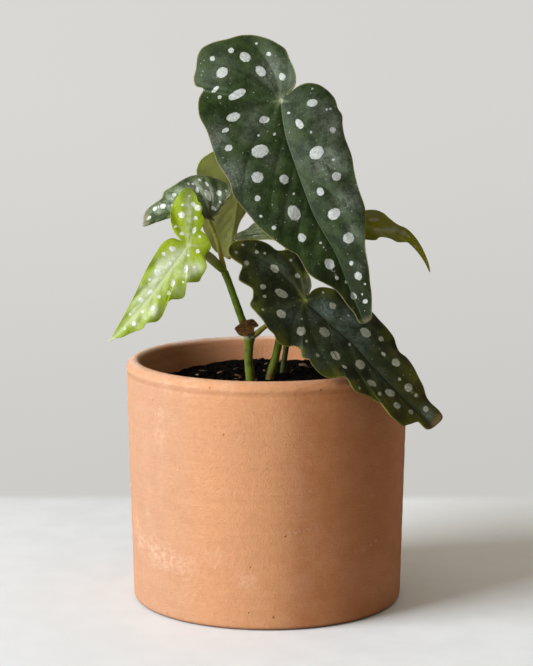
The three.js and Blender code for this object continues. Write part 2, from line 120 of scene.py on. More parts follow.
class Shader:
    def __init__(self, name):
        self.material = bpy.data.materials.new(name)
        self.material.use_nodes = True
        self.tree = self.material.node_tree
        self.tree.nodes.clear()

    def put(self, kind, *inputs, out=0, **settings):
        made = self.tree.nodes.new(kind)
        for key, value in settings.items():
            setattr(made, key, value)
        for i, value in enumerate(inputs):
            if isinstance(value, bpy.types.NodeSocket):
                self.tree.links.new(value, made.inputs[i])
            elif value is not None:
                made.inputs[i].default_value = value
        return made.outputs[out]

    def math(self, operation, *inputs):
        return self.put("ShaderNodeMath", *inputs, operation=operation)

    def times(self, a, b):
        return self.math("MULTIPLY", a, b)

    def length(self, where):
        return self.put("ShaderNodeVectorMath", where, out=1, operation="LENGTH")

    def distance(self, where, point):
        return self.put("ShaderNodeVectorMath", where, point, out=1, operation="DISTANCE")

    def split(self, where):
        """The three parts of a vector."""
        made = self.tree.nodes.new("ShaderNodeSeparateXYZ")
        self.tree.links.new(where, made.inputs[0])
        return made.outputs

    def cells(self, where, scale):
        """Distance from the nearest of many scattered points, as a share of their spacing."""
        return self.put("ShaderNodeTexVoronoi", where, None, scale)

    def ramp(self, value, low, high, start=0.0, end=1.0):
        """Goes smoothly from start to end as value goes from low to high."""
        return self.put("ShaderNodeMapRange", value, low, high, start, end, interpolation_type="SMOOTHSTEP")

    def number(self, name):
        return self.put("ShaderNodeAttribute", out=2, attribute_name=name)

    def vector(self, name):
        return self.put("ShaderNodeAttribute", out=1, attribute_name=name)

    def place(self):
        """Object coordinates in millimetres."""
        metres = self.put("ShaderNodeTexCoord", out=3)
        return self.put("ShaderNodeVectorMath", metres, (1000, 1000, 1000), operation="MULTIPLY")

    def noise(self, where, scale, detail=3.0, rough=0.55):
        return self.put("ShaderNodeTexNoise", where, None, scale, detail, rough)

    def stretched(self, where, scale):
        return self.put("ShaderNodeMapping", where, None, None, scale)

    def mix(self, share, a, b):
        made = self.tree.nodes.new("ShaderNodeMix")
        made.data_type = "RGBA"
        for socket, value in ((made.inputs[0], share), (made.inputs[6], a), (made.inputs[7], b)):
            if isinstance(value, bpy.types.NodeSocket):
                self.tree.links.new(value, socket)
            else:
                socket.default_value = value if isinstance(value, (int, float)) else (*value, 1)
        return made.outputs[2]

    def bump(self, height, distance, strength=1.0, normal=None):
        return self.put("ShaderNodeBump", strength, distance, None, height, normal)

    def principled(self, colour, roughness, normal=None, **uniform):
        made = self.tree.nodes.new("ShaderNodeBsdfPrincipled")
        for key, value in (("Base Color", colour), ("Roughness", roughness), ("Normal", normal)):
            if isinstance(value, bpy.types.NodeSocket):
                self.tree.links.new(value, made.inputs[key])
            elif value is not None:
                made.inputs[key].default_value = value
        for key, value in uniform.items():
            made.inputs[key.replace("_", " ")].default_value = value
        return made.outputs[0]

    def finish(self, surface):
        output = self.tree.nodes.new("ShaderNodeOutputMaterial")
        self.tree.links.new(surface, output.inputs[0])
        return self.material


# ---- The part's own leaves ----
# at: where the petiole joins the blade. tip: the blade's point. bulge: how far the midrib's middle stands
# off the straight line between them. facing: the way the upper face looks. cup: how far each half's margin
# falls. crest: how far its middle rises. frill: waves round the margin and their height. folds: a place that
# a fold runs to, its step and its spread. edge: points [along, across] the midrib.

LEAVES = [
    {
        "name": "leaf_top",
        "at": [6.4, -26, 241.6], "tip": [47, -54, 142.4],
        "bulge": [0, -5, 0.6], "facing": [0, -1, 0.3],
        "cup": [8, 7], "crest": 2.4, "frill": [11, 0.9],
        "folds": [{"to": [-19.5, -31], "step": 4, "spread": 16}],
        "edge": [
            [-1.8, 3.8], [-3.2, 8], [-3.7, 13.6], [-1.4, 18.3], [2.6, 21.4], [8.3, 23.4], [13, 23],
            [16.8, 23.6], [20.7, 22.2], [26, 21], [36.6, 20.5], [42.3, 19.2], [50, 18], [61.6, 17.1],
            [66.7, 15.4], [71.8, 13.2], [77.4, 10.9], [87.6, 8.6], [93.3, 6.9], [100, 5.2], [106, 2.9],
            [109.8, 1.2], [110.7, -1], [110, -4.4], [104.6, -5.2], [100, -6.7], [93.3, -8.4],
            [89.9, -10.1], [86.5, -12.9], [82.5, -16.3], [78.6, -18.3], [74, -18.8], [69.5, -19.7],
            [66, -22.6], [61.6, -25.4], [57, -28.2], [51.4, -31.1], [45.7, -32.8], [38.9, -35],
            [33.2, -36.5], [27.6, -35.8], [21.9, -36.7], [16.2, -37.7], [8.3, -37.3], [0.3, -36.9],
            [-6.5, -37.6], [-10.4, -37], [-15.5, -34.8], [-19.5, -31.1], [-22, -33.9], [-25.4, -33.8],
            [-30, -31], [-35.6, -28.1], [-38.4, -25.1], [-39.2, -19], [-38.2, -11.8], [-37.6, -5.9],
            [-35.2, 0], [-31, 5.5], [-26.7, 8.9], [-22.9, 11.1], [-17.8, 11.1], [-12.7, 11.3],
            [-8.2, 10.6], [-4.6, 8.8], [-2.7, 5.4],
        ],
    },
    {
        "name": "leaf_lower",
        "at": [17.4, -44, 151], "tip": [79.9, -54, 96.8],
        "bulge": [0.4, -2, 0.6], "facing": [0.33, -0.78, 0.53],
        "cup": [2.5, 4], "crest": 2, "frill": [12, 1],
        "edge": [
            [-0.9, 3.6], [-0.6, 7.2], [0.8, 10.7], [3.7, 13.6], [7.1, 15.4], [12.9, 16.4], [19.6, 17.4],
            [26.4, 19.2], [31.2, 18.5], [36, 18], [41.9, 16.5], [45.2, 14.1], [48.1, 12.7], [52.5, 12.9],
            [57.3, 11.7], [62.6, 9.3], [67, 7.3], [71.3, 4.2], [75.7, 3.3], [80, 3.3], [83, 2],
            [83.1, -2.8], [81.7, -7.6], [79.6, -9.1], [75.9, -8.4], [73.3, -12.5], [70.9, -16],
            [67, -16.5], [62.6, -17.5], [59.7, -14.4], [57, -14], [54.9, -15.9], [50.6, -16.3],
            [46.7, -18.3], [42.3, -19.5], [39.4, -16.7], [36, -17.5], [33.2, -21.2], [30.3, -23.6],
            [26.4, -24.4], [21.6, -23.6], [18.7, -22.5], [16.2, -24.1], [13.3, -21.6], [10.4, -21.8],
            [8, -24.6], [5, -26.2], [2.2, -26], [-0.2, -24.5], [-4.5, -24.1], [-8.4, -22.6],
            [-13.2, -21.7], [-17.6, -20.7], [-19.2, -16.3], [-21.9, -13.2], [-25.3, -13.6],
            [-29.2, -14.2], [-30.9, -11.5], [-32.6, -7.2], [-34.5, -6.7], [-36.9, -8], [-39.5, -7.6],
            [-42.2, -5.7], [-43.4, -2.3], [-42.7, 0.6], [-40.8, 3.5], [-37.9, 6.9], [-34, 9.8],
            [-29.7, 11.3], [-25.4, 11.6], [-22.8, 14.4], [-20, 17.4], [-14.5, 17.2], [-9.5, 13.6],
            [-5, 11.4], [-2.4, 8.6], [-1.5, 5.6],
        ],
    },
    {
        "name": "leaf_young",
        "at": [-36.9, -14, 173.2], "tip": [-74.1, -26, 128.9],
        "bulge": [0.2, -3, 0.4], "facing": [-0.1, -1, 0.25],
        "cup": [2, 3], "crest": 0.3, "frill": [13, 0.8],
        "edge": [
            [0.9, -3.6], [2.3, -8.2], [5, -9.8], [8.3, -10.2], [11.7, -9.8], [19.7, -8.7], [28.3, -6.5],
            [37, -4.3], [45.7, -2.5], [55, -0.9], [59.5, -0.2], [56.3, 1.3], [54, 3.3], [50.7, 4.8],
            [48, 6.3], [44.7, 8.1], [41.7, 7.9], [38, 11.1], [35, 11.8], [32.7, 11.5], [30.3, 9.8],
            [27.7, 9.5], [25.3, 10.1], [23.5, 12.2], [21.3, 13.8], [19.3, 13.7], [17.7, 12], [15.7, 10.7],
            [14.3, 10.9], [12.5, 13], [10.7, 14.7], [8, 14.3], [5.3, 14], [2.5, 13.1], [1, 11.3],
            [-0.9, 9.2], [-3.7, 9.4], [-6.3, 8.7], [-7.7, 6.3], [-9, 3.7], [-9.3, 1.3], [-9.4, -0.2],
            [-12.3, -0.7], [-14.5, -1.5], [-15.6, -3.3], [-16.5, -5], [-18.2, -5.8], [-19.5, -7.5],
            [-20, -10], [-21.3, -11.7], [-22.3, -14.3], [-22.2, -16.7], [-21, -18.3], [-19, -19.1],
            [-15.7, -19], [-12.3, -18.5], [-9, -17.5], [-5.7, -15.7], [-3, -13], [-1, -10.3], [0.2, -6.6],
        ],
    },
    {
        "name": "leaf_left",
        "at": [-27.6, -2, 184.6], "tip": [-58.9, -4, 181.5],
        "bulge": [0, 0, 4], "facing": [0, -0.75, 0.66],
        "cup": [4, 3], "crest": 1.2, "frill": [7, 0.8],
        "edge": [
            [-1.6, -1.2], [-7, -7], [-7.6, -9.4], [-9.2, -12.9], [-11.4, -16.4], [-13.2, -19.2],
            [-14, -21.8], [-13.5, -25.5], [-12.5, -26.1], [-8.7, -26.3], [-4.9, -26], [-0.6, -25.4],
            [3.9, -23.7], [7.7, -21.7], [11.6, -19.1], [15.8, -16.2], [21.1, -13.3], [22.6, -10],
            [25.6, -8.8], [28.5, -8], [30.7, -6.8], [32, -4.6], [32.6, -1.4], [32.9, 0.8], [29.8, 2],
            [24.4, 2.4], [20.5, 2.2], [15, 2.4], [8, 2.8], [4, 2.2], [1.6, 1], [-0.4, 0.9], [-2, 0.8],
            [-3, 0.2], [-3, -0.6], [-2.4, -1.2],
        ],
    },
    {
        "name": "leaf_back_left",
        "at": [-13.2, 31, 198.5], "tip": [-19, 47, 158.5],
        "bulge": [0, -1, 2], "facing": [-0.2, 0.9, 0.3],
        "cup": [2, 3], "crest": 1, "frill": [6, 0.8],
        "edge": [
            [-3, -0.9], [-11.1, -2.2], [-17.2, -2.4], [-20.8, 2], [-20.8, 8.1], [-17.2, 14.6],
            [-11.5, 21.3], [-6.1, 22.6], [-2.2, 21.7], [4.9, 19.9], [13.1, 18.4], [26.2, 15.9],
            [34, 11.8], [39.7, 7.6], [42.4, 2.6], [43.6, -0.6], [38.4, -2.2], [32.6, -2.4], [28.1, -2.6],
            [24, -3.4], [18.9, -5.5], [13.8, -6.5], [9.1, -8.1], [3, -9.7], [-4, -10.1], [-9.1, -8.1],
            [-9.7, -4.8],
        ],
    },
    {
        "name": "leaf_back_right",
        "at": [37.5, 12, 179.6], "tip": [78, 15, 155.4],
        "bulge": [5.6, 0, 6.7], "facing": [0.38, 0.59, 0.71],
        "cup": [1.5, 2], "crest": 0.8, "frill": [6, 0.6],
        "edge": [
            [-3, -0.4], [-8, -4], [-10, -9.4], [-6.6, -14], [-3, -15.6], [0.5, -15.4], [3, -18],
            [6.2, -18.4], [10.5, -16.2], [15.7, -11.6], [21, -8.8], [25.6, -9.2], [32.3, -7.9],
            [38, -6.4], [42.9, -5], [47.8, -3.8], [51.2, -2.2], [46, -1.5], [38.9, -0.8], [31.8, -0.2],
            [30.9, 0.8], [27.5, 5.2], [23.3, 5.8], [19, 8.4], [18.4, 13], [14, 15.2], [7, 15.6],
            [0, 14.4], [-6, 11], [-9, 6], [-8, 1.4],
        ],
    },
    {
        "name": "leaf_inner",
        "at": [15.9, 16, 175.3], "tip": [-15.7, 12, 173.1],
        "bulge": [0, 0, 1], "facing": [-0.1, -0.25, 0.96],
        "cup": [1, 0.5], "crest": 0.6, "frill": [6, 0.5],
        "edge": [
            [-3, -0.6], [-8.4, -5], [-10, -11], [-6, -17], [2, -20.4], [10, -21], [16.8, -19.3],
            [20.9, -14], [25.1, -8.8], [29.4, -5.6], [31.8, -2], [32.3, 1.9], [29.6, 5], [24, 5.8],
            [18, 8.4], [13.4, 12.2], [10, 14.8], [4, 16], [-3, 15], [-8, 10.6], [-8.6, 4.6],
        ],
    },
]

FRONT = np.array([0, -1100, 310])  # the relief rises towards here
EDGE_ON = 0.5  # a face turned further away than this rises straight out instead
CREASE_WIDTH = 1.2
LEAST_TURN = 2e-6  # between two points of the edge, in radians
PETIOLE_ROUND = 5  # how far the fold at the midrib is rounded off above the petiole
BLADE, THINNING = 0.7, 0.55  # thickness, and the share of it that is lost at the margin
VEIN_WIDTH, VEIN_FADE = 0.75, 0.75
VALLEY_WIDTH, VALLEY_DEPTH = 1.3, 0.45
PUFF_REACH, PUFF_MIDDLE = 4.5, 0.5
STILL_CENTRE, STILL_RIM = 6, 0.7  # no quilting round the petiole and little at the margin
MARGIN_POINTS = 160
DRY_BEFORE, DRY_BEYOND = 4.5, 0.5  # the dry tip, from before to beyond the midrib's end
LIFT_FROM, LIFT_TO = -25, -8


def between(a, b, low, high, t):
    return a + (b - a) * (t - low) / (high - low)


def curve(points, closed, steps=9):
    """A smooth line through the points, finely divided."""
    p = np.array(points, float)
    before, after = (p[-1:], p[:2]) if closed else (2 * p[:1] - p[1:2], 2 * p[-1:] - p[-2:-1])
    q = np.vstack([before, p, after])
    rows = []
    for i in range(len(q) - 3):
        four = q[i : i + 4]
        k = np.concatenate([[0], np.cumsum(np.linalg.norm(np.diff(four, axis=0), axis=1) ** 0.5)])
        t = np.linspace(k[1], k[2], steps, endpoint=False)[:, None]
        once = [between(four[j], four[j + 1], k[j], k[j + 1], t) for j in range(3)]
        twice = [between(once[j], once[j + 1], k[j], k[j + 2], t) for j in range(2)]
        rows.append(between(*twice, k[1], k[2], t))
    return np.vstack(rows + ([] if closed else [p[-1:]]))


def spaced(line, count, closed):
    """The same line as `count` points equally far apart."""
    line = np.vstack([line, line[:1]]) if closed else line
    along = np.concatenate([[0], np.cumsum(np.linalg.norm(np.diff(line, axis=0), axis=1))])
    where = np.linspace(0, along[-1], count, endpoint=not closed)
    return np.stack([np.interp(where, along, column) for column in line.T], 1)


def rim_points(leaf, count):
    """The blade's edge, moved where needed so that each straight line out of the petiole crosses it once."""
    outline = spaced(curve(leaf["edge"], True), count, True)
    if (np.cross(outline, np.roll(outline, -1, 0))).sum() < 0:
        outline = np.roll(outline[::-1], 1, 0)
    turn = np.unwrap(np.arctan2(outline[:, 1], outline[:, 0]))
    forward, backward = np.maximum.accumulate(turn), np.minimum.accumulate(turn[::-1])[::-1]
    turn = (forward + backward) / 2 + LEAST_TURN * np.arange(count)
    return np.linalg.norm(outline, axis=1)[:, None] * np.stack([np.cos(turn), np.sin(turn)], 1)


class Spine:
    """The curved midrib line of a blade, and the directions across it and out of its upper face."""

    def __init__(self, leaf):
        self.at, self.tip = np.array(leaf["at"], float), np.array(leaf["tip"], float)
        self.bend = (self.at + self.tip) / 2 + 2 * np.array(leaf["bulge"], float)
        line = self.point(np.linspace(0, 1, 201))
        self.length = np.linalg.norm(np.diff(line, axis=0), axis=1).sum()
        chord = unit(self.tip - self.at)
        facing = np.array(leaf["facing"], float)
        self.facing = unit(facing - facing @ chord * chord)
        self.side = np.cross(self.facing, chord)

    def point(self, share):
        t = np.asarray(share)[:, None]
        return self.at * (1 - t) ** 2 + 2 * self.bend * t * (1 - t) + self.tip * t**2

    def tangent(self, share):
        t = np.asarray(share)[:, None]
        return unit(2 * (self.bend - self.at) * (1 - t) + 2 * (self.tip - self.bend) * t)

    def place(self, uv, rise):
        u, v = uv.T
        share = np.clip(u / self.length, 0, 1)
        beyond = self.tangent(share) * (u - share * self.length)[:, None]
        point = self.point(share) + beyond + self.side * v[:, None]
        lift = unit(FRONT - point)
        towards = lift @ self.facing
        seen = np.abs(towards) > EDGE_ON
        along_view = lift * (rise / np.where(seen, towards, 1))[:, None]
        return point + np.where(seen[:, None], along_view, self.facing * rise[:, None])


def share_out(leaf, look, uv):
    """Which places are on the first side of the midrib, and how far out each is as a share of its width.

    Above the petiole the fold at the midrib is rounded off.
    """
    u, v = uv.T
    middle = rib(look, u)
    first = v < middle
    across = np.array(leaf["edge"])[:, 1]
    widest = np.where(first, -across.min(), across.max())
    off = v - middle * np.clip((1 - np.abs(v) / widest) / (1 - np.abs(middle) / widest), 0, 1)
    round_off = PETIOLE_ROUND * smooth(2, -12, u)
    return first, (np.hypot(off, round_off) - round_off) / widest


def relief(leaf, look, uv, rim, turn):
    u, v = uv.T
    first, out = share_out(leaf, look, uv)
    cup = np.where(first, *leaf["cup"])
    waves, height = leaf["frill"]
    rise = 4 * leaf["crest"] * out * (1 - out) - cup * out**2
    rise = rise + height * smooth(0, 0.6, out) * rim**3 * np.sin(2 * np.pi * waves * turn)
    for fold in leaf.get("folds", []):
        along, sideways = fold["to"]
        far = math.hypot(along, sideways)
        share = (u * along + v * sideways) / far**2
        off = (v * along - u * sideways) / far
        below = 0.5 + 0.5 * np.tanh(off / CREASE_WIDTH)
        near = np.exp(-((off / fold["spread"]) ** 2))
        rise = rise - np.where(share > 0, fold["step"] * np.minimum(share, 1.1) * below * near, 0)
    return rise


# ---- Veins and spots ----

def rib(look, u):
    """How far the midrib itself stands to the side of the straight line to the tip."""
    line = curve(look["rib"], False)
    return np.interp(u, line[:, 0], line[:, 1])


def vein_lines(look, length):
    """The midrib first, then the veins that start at the petiole, then those that leave the midrib."""
    u = np.linspace(0, length, 40)
    lines = [np.stack([u, rib(look, u)], 1)]
    for along, across in look["basal"]:
        t = np.linspace(0, 1.15, 12)
        bow = 0.1 * np.sin(np.pi * t)
        lines.append(np.stack([along * t + across * bow, across * t - along * bow], 1))
    for side in (-1, 1):
        for share in look["laterals"]:
            start = (share + 0.02 * side) * length
            t = np.linspace(0, 1, 12)
            reach = look["reach"] * (1.05 - share)
            angle = math.radians(look["angle"]) * (1 - 0.3 * t)
            along = start + reach * t * np.cos(angle)
            across = rib(look, start) + side * reach * t * np.sin(angle)
            lines.append(np.stack([along, across], 1))
    return lines


def distance_to(line, uv):
    """Distance from points to a line of straight pieces, and how far along it the nearest place is.

    The second goes from 0 to 1.
    """
    best = np.full(len(uv), 1e9)
    share = np.zeros(len(uv))
    for i, (a, b) in enumerate(zip(line, line[1:])):
        ab = b - a
        t = np.clip((uv - a) @ ab / max(ab @ ab, 1e-9), 0, 1)
        d = np.linalg.norm(uv - a - t[:, None] * ab, axis=1)
        near = d < best
        best[near], share[near] = d[near], (i + t[near]) / (len(line) - 1)
    return best, share


# count: points round the edge and rings of them. angle, reach: how the veins leave the midrib, in degrees
# and millimetres. quilt: how far the blade puffs up between veins. lift: how much more than its shape each
# half seems to rise to the margin, in millimetres, as the light shows it. tip: from where to where along the
# midrib another colour comes in, how much of it, and the colour. rib: the midrib itself. basal: ends of the
# veins that leave the petiole. laterals: where the other veins leave the midrib, as shares of its length.
# pale and painted sheen: paler greyish patches, [along, across, radius, strength]. They are painted highlight
# and painted light where the blade seems to catch more light than its shape gives; on the young leaf they are
# also its own whitish zones. spots: [along, across, radius] or [along, across, radius along, radius across,
# turn in degrees].
LOOKS = {
    "leaf_top": {
        "material": "dark", "count": (400, 112), "angle": 40, "reach": 62, "quilt": 0.55, "lift": [16, 8],
        "tip": (70, 88, 0.75, (0.009, 0.011, 0.001)),
        "rib": [
            [0, 0], [5.6, -1.7], [11.5, -3.1], [18, -4.2], [30.5, -4.9], [46, -5.5], [56, -5.5],
            [66, -4.3], [75, -2.9], [95, -2.7], [111, -2.4],
        ],
        "basal": [[-36, -5], [-30, -24], [2, -36], [5, 22], [-20, 10], [40, -35]],
        "laterals": [0.15, 0.29, 0.43, 0.56, 0.68, 0.79, 0.88],
        "pale_and_painted_sheen": [
            [-15, 2, 8, 0.6], [-10, 5, 5, 0.5], [-25, -20, 6, 0.3], [5, -15, 6, 0.5], [10, -20, 5, 0.35],
            [5, -35, 6, 0.8], [25, -33, 7, 0.85], [40, -35, 5, 0.4], [20, 18, 7, 0.9], [35, 10, 8, 0.95],
            [55, 12, 7, 0.8], [30, 5, 6, 0.5], [8, 12, 6, 0.45], [12, 18, 5, 0.5], [70, 8, 5, 0.5],
            [50, -15, 5, 0.25], [85, 6, 4, 0.4], [25, -15, 5, 0.3],
        ],
        "spots": [
            [-31.7, -22.1, 1.2], [-32.1, -12.7, 1.3], [-26.6, -7.8, 2.8, 2.2, 25],
            [-23.4, -20.4, 2.4, 2.8, 30], [-23.8, 3.1, 1.1], [-17.2, -3.6, 2.9, 1.9, 15],
            [-10.8, 4.8, 1.9, 1.4, -10], [-17, -26, 0.9, 2, 20], [-12.4, -25.5, 0.9],
            [-10.7, -17.7, 2, 4.4, 8], [-0.9, -23.1, 2.1, 3.2, -5], [5.6, -10.4, 1.7, 2.4, -8],
            [3.7, -28.7, 1, 1.7, 0], [12, -30.3, 1.5, 1.8, 0], [18.7, -17.6, 3, 3.9, -8],
            [13.6, -8.7, 0.7], [11.5, -15.6, 0.5], [6.3, 12.9, 1.8, 2.5, -10], [13.4, 3.9, 2.4, 1.6, 10],
            [11.6, 17.9, 0.6], [12, 19.5, 0.6], [21.7, 16.9, 1.4], [18.9, 7.3, 0.5],
            [28.9, 6.1, 2.8, 3.5, 20], [29.6, -23.1, 2.6], [35, -12.2, 2.3, 2, 0], [34.7, 12, 0.6],
            [42.5, 10.5, 2.1], [38.7, -26.6, 1.3], [46.4, 1.1, 1.9, 1.6, 0], [47.1, -28.2, 0.7],
            [51.2, -13.7, 3.6, 2.7, 5], [58.3, 3.1, 2.5, 3, 15], [54.2, -24.6, 1],
            [63.2, -14.5, 2.1, 1.8, 0], [71.1, 5.2, 2.5], [68.4, -7.5, 0.6], [71, -7, 0.4],
            [79.1, -7.4, 2.7, 2.1, 10], [82.4, 2.2, 1], [86.3, -6.6, 1.1, 0.8, 0], [89.7, -3.3, 0.7],
            [89.1, 2.9, 2, 1.6, 0], [96.9, -2.5, 2, 1.3, 10], [93.7, 4.4, 0.5], [101.2, 1.6, 1.1],
            [97.7, 1.4, 0.5], [6.8, 1.2, 0.6], [-30.8, -0.5, 0.5], [0, 15.4, 0.5], [43, -10.5, 0.5],
        ],
    },
    "leaf_lower": {
        "material": "lower", "count": (400, 100), "angle": 42, "reach": 44, "quilt": 0.55, "lift": [4, 6],
        "tip": (44, 60, 0.5, (0.04, 0.034, 0.001)),
        "rib": [[0, 0], [14, -0.8], [30, -0.8], [39, -2.2], [54, -3.8], [69, -4.7], [83, -5.4]],
        "basal": [[-40, -2], [-24, 12], [-12, -22], [3, 15], [8, -22], [34, -20]],
        "laterals": [0.17, 0.32, 0.46, 0.6, 0.72, 0.84],
        "pale_and_painted_sheen": [
            [10, 4, 6, 0.9], [20, 8, 6, 0.8], [8, -2, 4, 0.5], [0, -10, 5, 0.45], [20, -20, 5, 0.55],
            [25, -22, 4, 0.6], [-20, 6, 5, 0.3], [30, 3, 6, 0.4], [20, -8, 4, 0.3], [77, -2, 4, 1],
            [-25, 0, 4, 0.35], [50, -5, 4, 0.25], [20, 0, 6, 0.45], [25, 5, 4, 0.35],
        ],
        "spots": [
            [-38.8, -3.9, 0.8], [-38.9, 1.5, 0.7], [-31.8, -4.8, 1.2], [-31.9, 3.6, 1], [-28.7, 5.9, 0.7],
            [-20.5, 2.9, 2.3, 2, 0], [-18.8, -8.9, 1.4], [-15.3, -12.3, 0.8], [-11.7, -18.2, 0.6],
            [-17.5, 12.1, 0.8], [-10.4, -5.2, 3.3, 2, 15], [-10.4, 7.8, 1.3], [-4.1, -13.7, 2.3, 2, 0],
            [4.4, -8.8, 0.6], [7.8, -13.9, 2, 2.4, 0], [3.6, 9.8, 0.7], [10.9, 7.6, 1.7],
            [16.1, -6.2, 2.7, 2.2, 0], [12.7, -16, 0.6], [20.6, -18, 0.9], [19.4, 9.1, 0.6],
            [17.7, 5.1, 0.4], [26.9, -11.8, 2.5, 2, 0], [30.4, 8.2, 2.8, 2.2, 0], [28.3, -2.5, 0.7],
            [33.3, -13.2, 1.2, 0.7, 20], [38.1, -6.8, 2.4, 2.2, 0], [37.8, 11.1, 1.3],
            [43.2, 5.8, 1.2, 0.9, 0], [44.8, -16.5, 0.6], [47.7, -10.2, 2.3, 1.5, 15], [50, 6.9, 2],
            [56.9, -7.6, 2.5, 1.7, 30], [53.5, -11.8, 1, 0.5, 0], [56.2, 1.5, 0.8],
            [61.9, 1.3, 1.9, 2.2, 0], [63.1, -10.1, 1.8, 1.5, 0], [69.9, -7.6, 1.2, 1, 0], [67, 1, 0.9],
            [74.4, -0.9, 1.4],
        ],
    },
    "leaf_young": {
        "material": "young", "count": (320, 76), "angle": 42, "reach": 30, "quilt": 0.3, "lift": [2, 5],
        "rib": [[0, 0], [11.6, 0.5], [29, 1.6], [47.7, 0.9], [60, 0.3]],
        "basal": [[-21, -15], [-7, 7], [-4, -12], [10, 13]],
        "laterals": [0.18, 0.32, 0.46, 0.6, 0.74],
        "pale_and_painted_sheen": [
            [4.3, 0, 2.5, 0.8], [7, -0.5, 3, 0.85], [9.7, -1, 3.5, 0.95], [13, -2, 4.2, 1],
            [16.8, -3, 5, 1], [21.9, -3, 5, 1], [25.7, -2.8, 5, 1], [29.4, -2.5, 5, 1],
            [35.6, -1.5, 5, 1], [41.6, -1, 4.5, 1], [47, -0.5, 4, 1], [52, 0.2, 4, 0.95],
            [7.8, 10.2, 3.6, 0.95], [5.2, 11.1, 3, 0.85], [12.7, 9.6, 3.2, 0.85], [9, 6.5, 3.2, 0.5],
            [19.1, 11.2, 3, 0.9], [22.6, 11.6, 2.6, 0.6], [13.5, 5.2, 2.6, 0.4], [34.8, 7.8, 3.6, 1],
            [45.3, 5.4, 3.6, 1], [40.5, 6.6, 2.8, 0.85], [28, 3.2, 2.2, 0.4], [37, 2.6, 2.4, 0.6],
            [-20.6, -16, 4, 0.85], [-18, -14, 2.3, 0.65], [-15.5, -12, 2.3, 0.8], [-12.6, -9.7, 2, 0.7],
            [-9.7, -7.4, 1.8, 0.65], [-6.6, -5.3, 1.5, 0.55], [-3.6, -3.3, 1.4, 0.5],
        ],
        "spots": [
            [-9.3, -11.7, 1.5], [-17, -10.9, 1.1], [-17, -7.8, 1.5], [-12.3, -5.5, 1],
            [-7.3, -2.3, 1.8, 0.9, 20], [-6.5, 1.7, 0.7], [-3.1, -10.3, 0.7], [-2.2, -5.9, 1.1],
            [-0.3, 5.3, 1], [6.5, -4.8, 1.4], [10.8, -6.5, 0.9], [12.7, -1.7, 0.9], [10, 6.3, 2, 1, 25],
            [4.1, 3, 0.6], [6.7, 8.7, 0.7], [19.5, -3.3, 1.4], [19, 5.7, 2, 0.9, 25],
            [23.7, 6.9, 1.3, 0.6, 20], [24.5, -4, 0.8], [28.9, 0, 1.3], [34.5, -1, 1.1], [28, 4.9, 0.8],
            [34, 5.7, 1.2, 0.8, 20], [43, -0.7, 0.7], [45.3, 3.7, 1], [57.3, 0.7, 0.9],
            [-13.5, -14.5, 0.7], [-19, -14.5, 0.6], [38.5, 3, 0.7], [15.5, 9, 0.6], [50, 1.6, 0.8],
        ],
    },
    "leaf_left": {
        "material": "small", "count": (320, 70), "angle": 62, "reach": 26, "quilt": 0.9, "lift": [0, 0],
        "rib": [[0, 0], [33, 0]],
        "basal": [[-12, -22], [-6, -26], [1, -26], [9, -21]],
        "laterals": [0.22, 0.42, 0.6, 0.78],
        "pale_and_painted_sheen": [
            [-3, -15, 4, 0.9], [3, -17, 3.5, 0.8], [-10, -17, 3.5, 0.6], [8, -15, 3, 0.7],
            [12, -12, 3, 0.6], [18, -8, 3, 0.7], [25, -5, 3, 0.7], [-5, -9, 3, 0.6], [0, -8, 3, 0.5],
        ],
        "spots": [
            [-11, -20.7, 0.7], [-7, -17.5, 2, 1.2, 60], [-0.8, -13.5, 1.5, 3.2, 10], [-1, -20, 1, 1.3, 0],
            [-7.2, -12.3, 0.7], [-3.2, -6.8, 1.2], [2.5, -21, 0.8], [4.4, -14.3, 0.9, 1.9, -10],
            [6.3, -17.3, 0.7], [8.6, -17.1, 0.8], [16.2, -10.4, 1.1], [22.3, -5.2, 1.5],
            [26.3, -5.4, 1.1], [29.7, -1.7, 1.1], [17.5, -4.4, 1],
        ],
    },
    "leaf_back_left": {
        "material": "underside", "count": (280, 60), "angle": 40, "reach": 26, "quilt": 0.2, "lift": [0, 0],
        "rib": [[0, 0], [20, -0.5], [50, 0]],
        "basal": [[-17, 14], [-4, 21], [-16, 0], [14, 17]],
        "laterals": [0.2, 0.36, 0.52, 0.68],
        "pale_and_painted_sheen": [[-10.4, 19.1, 9, 0.6], [-3.4, 14.5, 7, 0.6], [34.1, 1.6, 6, 0.25]],
        "spots": [
            [-8, 8, 1.6], [4, 9, 1.8], [14, 6, 1.4], [24, 8, 1.7], [12, 14, 1], [-2, 15, 1.2],
            [32, 3, 1.1],
        ],
    },
    "leaf_back_right": {
        "material": "back", "count": (280, 60), "angle": 40, "reach": 26, "quilt": 0.5, "lift": [0, 0],
        "rib": [[0, 0], [20, -0.5], [50, 0]],
        "basal": [[-6, -13], [5, -17], [-4, 12], [12, 15]],
        "laterals": [0.22, 0.38, 0.54, 0.7],
        "pale_and_painted_sheen": [
            [18.5, -1.3, 2.2, 0.8], [21.4, -4.6, 2.2, 0.8], [25.9, -3.9, 2, 0.6], [16.2, 1.8, 2, 0.5],
        ],
        "spots": [
            [9.4, -8.4, 2.3], [14.6, 1.5, 1.6], [21.6, -1.7, 1.6], [26.2, -5.6, 1.3], [29.7, -5.2, 1.2],
            [0, 8, 1.8], [8, 9, 1.5], [36, -3, 0.9], [2, -11, 1.4],
        ],
    },
    "leaf_inner": {
        "material": "inner", "count": (280, 60), "angle": 42, "reach": 24, "quilt": 0.5, "lift": [0, 0],
        "rib": [[0, 0], [15, -0.4], [33, 0]],
        "basal": [[-6, -14], [4, -19], [-5, 13], [8, 14]],
        "laterals": [0.24, 0.42, 0.6, 0.76],
        "pale_and_painted_sheen": [[24.5, -5.8, 12, 0.8], [12, -8, 8, 0.4]],
        "spots": [
            [4, -9, 1.7], [12, -12, 1.3], [14, 5, 1.5], [3, 9, 1.6], [22, 1, 1.2], [-4, -6, 1.2],
            [19, -8, 0.9],
        ],
    },
}


